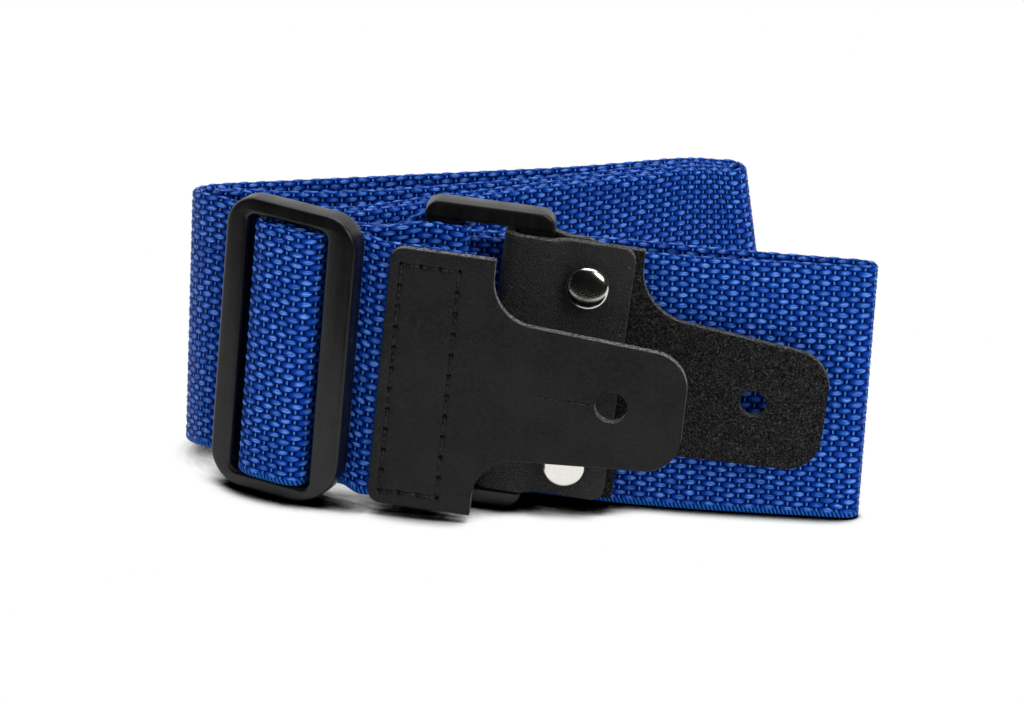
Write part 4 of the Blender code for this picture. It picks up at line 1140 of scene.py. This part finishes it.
def finish_leather(piece, *materials):
    for number, material in enumerate(materials):
        if number < len(piece.data.materials):
            piece.data.materials[number] = material
        else:
            piece.data.materials.append(material)
    smooth_by_angle(piece.data, LEATHER_CREASE)
    keep_local_places(piece.data)


# Stitches

STITCH = 4.0 * MM
STITCH_RADIUS = 0.24 * MM
STITCH_SHARES = (0.04, 0.07, 0.13, 0.3, 0.5, 0.7, 0.87, 0.93, 0.96)  # places along a stitch
STITCH_DIP = 0.12 * MM
STITCH_RISE = 0.03 * MM
FRONT_SINK = 0.8 * MM  # how deep the thread goes into the leather
BACK_SINK = 0.6 * MM  # and into the webbing
GROOVE_DEPTH, GROOVE_WIDTH = 0.16 * MM, 0.5 * MM  # of the line of stitches in the leather
NEEDLE_HOLE = 0.42 * MM


def stitch_holes(left, right, bottom, top):
    """The needle holes round a box, in order."""
    corners = [(left, top), (right, top), (right, bottom), (left, bottom), (left, top)]
    holes = []
    for (ax, az), (bx, bz) in zip(corners, corners[1:]):
        count = max(1, round(math.hypot(bx - ax, bz - az) / STITCH))
        holes += [(ax + (bx - ax) * i / count, az + (bz - az) * i / count) for i in range(count)]
    return holes


def front_stitch_holes():
    left, half = STITCH_MARGIN_X, WEBBING_WIDTH / 2
    bottom, top = -half + STITCH_MARGIN_BOTTOM, half - STITCH_MARGIN_TOP
    return stitch_holes(left, left + STITCH_BOX_WIDTH, bottom, top)


def tack_holes():
    left, half = SEWN_X + 2 * THREAD, WEBBING_WIDTH / 2 - TACK_MARGIN
    return stitch_holes(left, left + TACK_LENGTH, -half, half)


def stitch_mesh(holes, face_y, outward, sink):
    """A stitch of thread from each hole to the next, on a face whose outside is towards outward."""
    curve = bpy.data.curves.new("stitches", "CURVE")
    curve.dimensions = "3D"
    curve.bevel_depth = STITCH_RADIUS
    curve.bevel_resolution = 2
    curve.use_fill_caps = True
    half = (sink, 0.5 * sink, STITCH_DIP, 0.0)
    depths = (*half, -STITCH_RISE, *reversed(half))
    for (ax, az), (bx, bz) in zip(holes, holes[1:] + holes[:1]):
        spline = curve.splines.new("POLY")
        spline.points.add(len(STITCH_SHARES) - 1)
        for point, share, depth in zip(spline.points, STITCH_SHARES, depths):
            point.co = (ax + (bx - ax) * share, face_y - outward * depth, az + (bz - az) * share, 1)
    mesh = curve_mesh(curve)
    face_outward(mesh)
    mesh.shade_smooth()
    keep_local_places(mesh)
    mesh.materials.append(BLACK_THREAD)
    return mesh


def add_stitches(seam, matrix, body, holes, needle, bobbin):
    """A seam's stitches on both faces: needle and bobbin are (y of the face, outward, sink)."""
    for thread, values in (("needle", needle), ("bobbin", bobbin)):
        piece = new_object(f"{seam}_{thread}_stitches", stitch_mesh(holes, *values))
        place_piece(piece, matrix, body, "thread", f"{seam}_{thread}_thread")


def distance_to_stitches(x, z, holes):
    """How far places are from the line of stitches and from its nearest hole."""
    line = np.full(z.shape, 1.0)
    hole = np.full(z.shape, 1.0)
    for (ax, az), (bx, bz) in zip(holes, holes[1:] + holes[:1]):
        dx, dz = bx - ax, bz - az
        share = np.clip(((x - ax) * dx + (z - az) * dz) / (dx * dx + dz * dz), 0, 1)
        line = np.minimum(line, np.hypot(x - ax - dx * share, z - az - dz * share))
        hole = np.minimum(hole, np.hypot(x - ax, z - az))
    return line, hole


def bell(distance, width, power=2):
    return np.exp(-((distance / width) ** power))


def mark_painted_hole_shade(mesh, holes, middle):
    """Stores how deep in a needle hole each point of the front face is, for the painted shade that blackens
    the holes.
    """
    places = points_of(mesh)
    _, hole = distance_to_stitches(places[:, 0], places[:, 2], holes)
    store(mesh, "hollow", bell(hole, NEEDLE_HOLE) * (places[:, 1] < middle))


# Front tab


def front_rows():
    """Rows of (x, half width, drop) along the front tab."""
    half = WEBBING_WIDTH / 2
    head = list(zip(EDGE_DISTANCES, EDGE_DROPS))
    head += [(x, 0.0) for x in np.arange(0.55 * MM, FRONT_HEAD - 0.1 * MM, 0.3 * MM)]
    rows = [(x, half - corner_cut(HEAD_CORNER - x, HEAD_CORNER), drop) for x, drop in head]
    return [*rows, (FRONT_HEAD, half, 0.0), *tongue_rows(FRONT_HEAD, FRONT_LENGTH)]


def key_hole():
    """The button hole with its slit towards the head."""
    radius = BUTTON_HOLE / 2
    opening = math.degrees(math.asin(SLIT_WIDTH / 2 / radius))
    slit_end = FRONT_HOLE_X - radius - SLIT_LENGTH
    round_part = arc((FRONT_HOLE_X, 0), radius, 180 - opening, -180 + opening)
    return round_part + [(slit_end, -SLIT_WIDTH / 4), (slit_end, SLIT_WIDTH / 4)]


def add_front_tab():
    holes = front_stitch_holes()

    def relief(x, z):
        line, hole = distance_to_stitches(x, z, holes)
        sway = 0.05 * MM * np.sin(x / (7 * MM) + 1.0) * np.cos(z / (9 * MM))
        return sway - GROOVE_DEPTH * bell(line, GROOVE_WIDTH) - FRONT_SINK * bell(hole, NEEDLE_HOLE)

    middle = FRONT_FACE + LEATHER_THICKNESS / 2
    rows = [((x, middle, 0.0), (0.0, -1.0, 0.0), half, drop, x) for x, half, drop in front_rows()]
    tab = new_object("front_tab_piece", sheet_of_leather("front_tab_leather", rows, FRONT_COLUMNS, relief))
    finish_leather(tab, SMOOTH_LEATHER, SUEDE, PALE_EDGE)
    cut_hole(tab, key_hole(), FRONT_CUT, middle, PALE_EDGE)
    finish_leather(tab, SMOOTH_LEATHER, SUEDE, PALE_EDGE)
    mark_painted_hole_shade(tab.data, holes, middle)
    place_piece(tab, FRONT_MATRIX, "front_tab", "leather", "front_tab")
    needle = (FRONT_FACE + GROOVE_DEPTH, -1, FRONT_SINK)
    bobbin = (WEBBING_THICKNESS / 2, 1, BACK_SINK)
    add_stitches("front_tab", FRONT_MATRIX, "front_tab", holes, needle, bobbin)


# Rear tab


def rear_route():
    """The rear tab's middle line from the flap's end round the ring's right bar to the rivets."""
    bend = RING_EDGE + 1.6 * SEAT_GAP + LEATHER_THICKNESS / 2
    corner_x, corner_y = RING_SIDE_BAR / 2 - RING_EDGE, RING_SIDE_THICKNESS / 2 - RING_EDGE
    clamp_x = RIVET_X - RIVET_CAP / 2
    back = arc((-corner_x, corner_y), bend, 180, 90, 15)
    back.append((corner_x, corner_y + bend))
    fall = corner_y + bend - LAYER_OFFSET
    for share in (0.25, 0.5, 0.75, 1.0):
        sink = share * share * (3 - 2 * share)
        back.append((corner_x + (clamp_x - corner_x) * share, LAYER_OFFSET + fall * (1 - sink)))
    back.append((RIVET_X, LAYER_OFFSET))
    front = [(x, -y) for x, y in reversed(back)]
    fine = smooth_line([np.array((x, y, 0.0)) for x, y in front + back], 6)
    spread = [p for p, q in zip(fine, fine[1:]) if np.linalg.norm(p - q) > LEAST_STEP]
    return [*spread, fine[-1]]


def rear_rows():
    """Rows of (place, half width, drop) along the rear tab, from the flap's end to the tongue's."""
    half = REAR_WIDTH / 2
    corner_start = FLAP_LENGTH - HEAD_CORNER
    flap = [FLAP_LENGTH - d for d in EDGE_DISTANCES]
    drops = dict(zip(flap, EDGE_DROPS))
    flap += [FLAP_LENGTH - HEAD_CORNER * (1 - math.sin(math.radians(a))) for a in range(60, -1, -10)]
    flap += list(np.arange(corner_start - 0.5 * MM, RIVET_X + 0.3 * MM, -0.5 * MM))
    rows = []
    for x in flap:
        width = half - corner_cut(x - corner_start, HEAD_CORNER)
        rows.append((np.array((x, -LAYER_OFFSET, 0.0)), width, drops.get(x, 0.0)))
    rows += [(place, half, 0.0) for place in rear_route()]
    lift = np.array((0.0, 0.0, FLAP_LIFT / 2))
    rows = [(place + lift, width + FLAP_LIFT / 2, drop) for place, width, drop in rows]
    for x in [*np.arange(RIVET_X + 0.6 * MM, REAR_HEAD - 0.2 * MM, 0.6 * MM), REAR_HEAD]:
        rows.append((np.array((x, LAYER_OFFSET, 0.0)), half, 0.0))
    for x, width, drop in tongue_rows(REAR_HEAD, REAR_LENGTH):
        share = min(1.0, (x - REAR_HEAD) / SHOULDER_FILLET)
        sag = TONGUE_SAG * (x - REAR_HEAD) / (REAR_HOLE_X - REAR_HEAD)
        rows.append((np.array((x, LAYER_OFFSET, -share * TONGUE_DROP - sag)), width, drop))
    return [(place - np.array((0, 0, REAR_DROP)), width, drop) for place, width, drop in rows]


def rivet_heights():
    return [side * RIVET_SPACING / 2 - RIVET_DROP + FLAP_LIFT for side in (1, -1)]


def add_rear_tab():
    rows = rear_rows()
    places = np.array([place for place, _, _ in rows])
    ahead = np.gradient(places[:, :2], axis=0)
    ahead /= np.linalg.norm(ahead, axis=1)[:, None]
    sides = np.stack([-ahead[:, 1], ahead[:, 0], np.zeros(len(ahead))], axis=1)

    def relief(row, across):
        place = places[row]
        lift = 0.04 * MM * np.sin(place[0] / (5 * MM)) * np.cos(across / (6 * MM))
        for height in rivet_heights():
            away = np.hypot(place[0] - RIVET_X, across + place[2] - height)
            lift -= RIVET_PRESS * bell(away, RIVET_DENT, 4)
        return lift

    full = [(p, s, width, drop, i) for i, ((p, width, drop), s) in enumerate(zip(rows, sides))]
    tab = new_object("rear_tab_piece", sheet_of_leather("rear_tab_leather", full, REAR_COLUMNS, relief))
    finish_leather(tab, GRAIN_LEATHER, SUEDE, FLAP_EDGE)
    for height in rivet_heights():
        cut_hole(tab, circle((RIVET_X, height), RIVET_STEM / 2 + SEAT_GAP), REAR_CUT, 0.0, FLAP_EDGE)
    button = (REAR_HOLE_X, -REAR_DROP - TONGUE_DROP - TONGUE_SAG)
    cut_hole(tab, circle(button, REAR_HOLE / 2), REAR_CUT, 0.0, FLAP_EDGE)
    finish_leather(tab, GRAIN_LEATHER, SUEDE, FLAP_EDGE)
    place_piece(tab, REAR_MATRIX, "rear_tab", "leather", "rear_tab")


# Rivets

TURN_STEPS = 64
DOME_STEPS = 24
DOME_POWER = 0.8  # below 1, the dome is flatter in the middle and rounder at its rim


def turned_mesh(name, profile):
    """A closed solid turned about y, from (radius, y) points between two points on the axis."""
    angles = np.arange(TURN_STEPS) * 2 * math.pi / TURN_STEPS
    shape = bmesh.new()
    rings = []
    for radius, y in profile:
        if radius == 0:
            rings.append([shape.verts.new((0, y, 0))] * TURN_STEPS)
        else:
            rings.append([shape.verts.new((radius * math.cos(a), y, radius * math.sin(a))) for a in angles])
    for near, far in zip(rings, rings[1:]):
        for i in range(TURN_STEPS):
            corners = [near[i], far[i], far[i - 1], near[i - 1]]
            shape.faces.new(list(dict.fromkeys(corners)))
    bmesh.ops.recalc_face_normals(shape, faces=shape.faces)
    mesh = mesh_from_shape(name, shape)
    smooth_by_angle(mesh, NICKEL_CREASE)
    keep_local_places(mesh)
    mesh.materials.append(NICKEL)
    return mesh


def cap_profile():
    """A low dome with a rolled rim, and a blind bore for the stem."""
    radius = RIVET_CAP / 2
    seat = -RIVET_SEAT + RIVET_PRESS
    crown = -RIVET_SEAT - RIVET_CAP_HEIGHT
    rim = -RIVET_SEAT - RIVET_RIM
    points = []
    for i in range(DOME_STEPS + 1):
        angle = math.radians(90) * i / DOME_STEPS
        rise = max(0.0, math.cos(angle)) ** DOME_POWER
        points.append((radius * math.sin(angle) ** DOME_POWER, rim - (rim - crown) * rise))
    points += [(radius, seat - 0.12 * MM), (radius - 0.12 * MM, seat)]
    bore = RIVET_STEM / 2 + SEAT_GAP
    points += [(bore, seat), (bore, -RIVET_SEAT - RIVET_GRIP), (0, -RIVET_SEAT - RIVET_GRIP)]
    return points


def post_profile():
    """A stem with a flat flange at the back."""
    stem, flange = RIVET_STEM / 2, RIVET_CAP / 2
    tip = -RIVET_SEAT - RIVET_GRIP + SEAT_GAP
    edge = RIVET_FLANGE / 3
    seat = RIVET_SEAT - RIVET_PRESS
    back = RIVET_SEAT + RIVET_FLANGE
    points = [(0, tip), (stem - edge, tip), (stem, tip + edge), (stem, seat)]
    points += [(flange - 0.1 * MM, seat), (flange, seat + 0.1 * MM), (flange, back - edge)]
    points += [(flange - 0.3 * edge, back - 0.3 * edge), (flange - edge, back), (0, back)]
    return points


def add_rivets():
    for level, height in zip(("upper", "lower"), rivet_heights()):
        matrix = REAR_MATRIX @ Matrix.Translation((RIVET_X, 0, height))
        for kind, profile in (("cap", cap_profile()), ("post", post_profile())):
            name = f"{level}_rivet_{kind}"
            piece = new_object(f"{name}_piece", turned_mesh(name, profile))
            place_piece(piece, matrix, "rear_tab", "nickel", name)


# Sewing of the webbing's end


def add_tacks():
    half = WEBBING_THICKNESS / 2
    needle, bobbin = (SEWN_Y - half, -1, BACK_SINK), (INNER_Y + half, 1, BACK_SINK)
    add_stitches("anchor", SLIDER_MATRIX, "slider", tack_holes(), needle, bobbin)


# Floor, light and camera

AMBIENT = 0.6
ROOM_NEAR, ROOM_FRONT, ROOM_BACK = -0.1, -0.95, 0.3  # the dark room along y
ROOM_SIDE, ROOM_TOP = 1.1, 1.4
ROOM_FLOOR = 0.5 * MM
ROOM_COLOUR = (0.006, 0.006, 0.006)
FLOOR_SIZE = 3.0
FLOOR_LEVEL = -0.1 * MM
FLOOR_COLOUR = (0.98, 0.98, 0.98)
SHADOW_REACH = 8 * MM  # how far the strap shades the floor
SHADOW_DEPTHS = (0.55, 0.82)  # how open the floor is to the sky where its white glow starts and is full
PAINTED_SHADOW_DEPTHS = (0.52, 0.84)  # and where its painted contact shadow is black and where it has its full colour
LAMPS = (  # name, place, aim, size and power
    ("softbox", (0.55, -0.55, 0.62), (0, 0, 0.03), 0.7, 4.6),
    ("top_light", (0.05, 0.1, 0.85), (0, 0, 0.02), 0.8, 4.4),
)
CAMERA_TARGET = plan(0.0, 21.0) + Vector((0, 0, 25 * MM))
CAMERA_DISTANCE = 870 * MM
CAMERA_ELEVATION = math.radians(20)
CAMERA_ROLL = math.radians(3)
FOCAL_PIXELS = 4550
PICTURE_WIDTH = 1024
SENSOR_WIDTH = 36.0  # in mm


def any_seen_ray(tree):
    """1 for rays from the camera and for those that metal or glass sends on."""
    path = tree.nodes.new("ShaderNodeLightPath")
    seen = path.outputs["Is Camera Ray"]
    for name in ("Is Glossy Ray", "Is Transmission Ray"):
        node = tree.nodes.new("ShaderNodeMath")
        node.operation = "MAXIMUM"
        tree.links.new(seen, node.inputs[0])
        tree.links.new(path.outputs[name], node.inputs[1])
        seen = node.outputs[0]
    return seen


def floor_material():
    """Pale and matt, white to the camera where the strap doesn't shade it, and with a painted contact shadow
    where the strap hides it from the sky.
    """
    graph = Graph("pale_floor")
    seen = any_seen_ray(graph.tree)
    sky = graph.made("ShaderNodeAmbientOcclusion", "AO", {"Distance": SHADOW_REACH}, samples=16)
    # painted contact shadow: to the camera the floor's colour darkens to black where the strap hides it from
    # the sky
    open_share = graph.between(sky, *PAINTED_SHADOW_DEPTHS)
    dark = graph.made("ShaderNodeVectorMath", 0, {0: FLOOR_COLOUR, "Scale": open_share}, operation="SCALE")
    graph.finish(0.0, base_color=graph.mix(seen, FLOOR_COLOUR, dark), roughness=1.0)
    glow = graph.made("ShaderNodeEmission", 0, {})
    share = graph.times(seen, graph.between(sky, *SHADOW_DEPTHS))
    mixed = graph.made("ShaderNodeMixShader", 0, {0: share, 1: graph.shader.outputs[0], 2: glow})
    graph.plug(graph.tree.nodes["Material Output"].inputs["Surface"], mixed)
    return graph.material


def add_floor():
    shape = bmesh.new()
    bmesh.ops.create_grid(shape, x_segments=1, y_segments=1, size=FLOOR_SIZE)
    floor = new_object("floor", mesh_from_shape("floor", shape))
    floor.location.z = FLOOR_LEVEL
    floor.data.materials.append(floor_material())


def add_world():
    world = bpy.data.worlds.new("studio")
    bpy.context.scene.world = world
    world.use_nodes = True
    tree = world.node_tree
    background = tree.nodes["Background"]
    background.inputs["Color"].default_value = (1, 1, 1, 1)
    strength = tree.nodes.new("ShaderNodeMapRange")
    strength.inputs["To Min"].default_value = AMBIENT
    strength.inputs["To Max"].default_value = 1.0
    tree.links.new(any_seen_ray(tree), strength.inputs["Value"])
    tree.links.new(strength.outputs[0], background.inputs["Strength"])


def add_dark_room():
    """The dark room in front of the strap and on either side, which only shows in what is glossy."""
    shape = bmesh.new()
    floor = [(x, y, ROOM_FLOOR) for y in (ROOM_NEAR, ROOM_FRONT) for x in (-ROOM_SIDE, ROOM_SIDE)]
    shape.faces.new([shape.verts.new(floor[i]) for i in (0, 1, 3, 2)])
    corners = [(-ROOM_SIDE, ROOM_BACK), (-ROOM_SIDE, ROOM_FRONT)]
    corners += [(ROOM_SIDE, ROOM_FRONT), (ROOM_SIDE, ROOM_BACK)]
    low, high = [[shape.verts.new((*corner, z)) for corner in corners] for z in (ROOM_FLOOR, ROOM_TOP)]
    for i in range(3):
        shape.faces.new((low[i], low[i + 1], high[i + 1], high[i]))
    shape.faces.new(high)
    room = new_object("dark_room", mesh_from_shape("dark_room", shape))
    material = Graph("dark_room").finish(0.0, base_color=ROOM_COLOUR, roughness=1.0)
    room.data.materials.append(material)
    room.visible_camera = False
    room.visible_diffuse = False
    room.visible_shadow = False


def add_lamp(name, place, aim, size, power):
    lamp = bpy.data.lights.new(name, "AREA")
    lamp.shape = "DISK"
    lamp.size = size
    lamp.energy = power
    item = new_object(name, lamp)
    item.location = place
    item.rotation_euler = (Vector(aim) - Vector(place)).to_track_quat("-Z", "Y").to_euler()


def add_camera():
    data = bpy.data.cameras.new("camera")
    data.sensor_width = SENSOR_WIDTH
    data.lens = SENSOR_WIDTH * FOCAL_PIXELS / PICTURE_WIDTH
    data.clip_start, data.clip_end = 0.01, 20.0
    camera = new_object("camera", data)
    turn = Matrix.Rotation(math.radians(90) - CAMERA_ELEVATION, 4, "X")
    place = CAMERA_TARGET + turn @ Vector((0, 0, CAMERA_DISTANCE))
    camera.matrix_world = Matrix.Translation(place) @ turn @ Matrix.Rotation(CAMERA_ROLL, 4, "Z")
    bpy.context.scene.camera = camera


bpy.context.scene.view_settings.view_transform = "Standard"
add_camera()
add_webbing()
add_slider()
add_ring()
add_front_tab()
add_rear_tab()
add_rivets()
add_tacks()
add_floor()
add_world()
add_dark_room()
for lamp_values in LAMPS:
    add_lamp(*lamp_values)
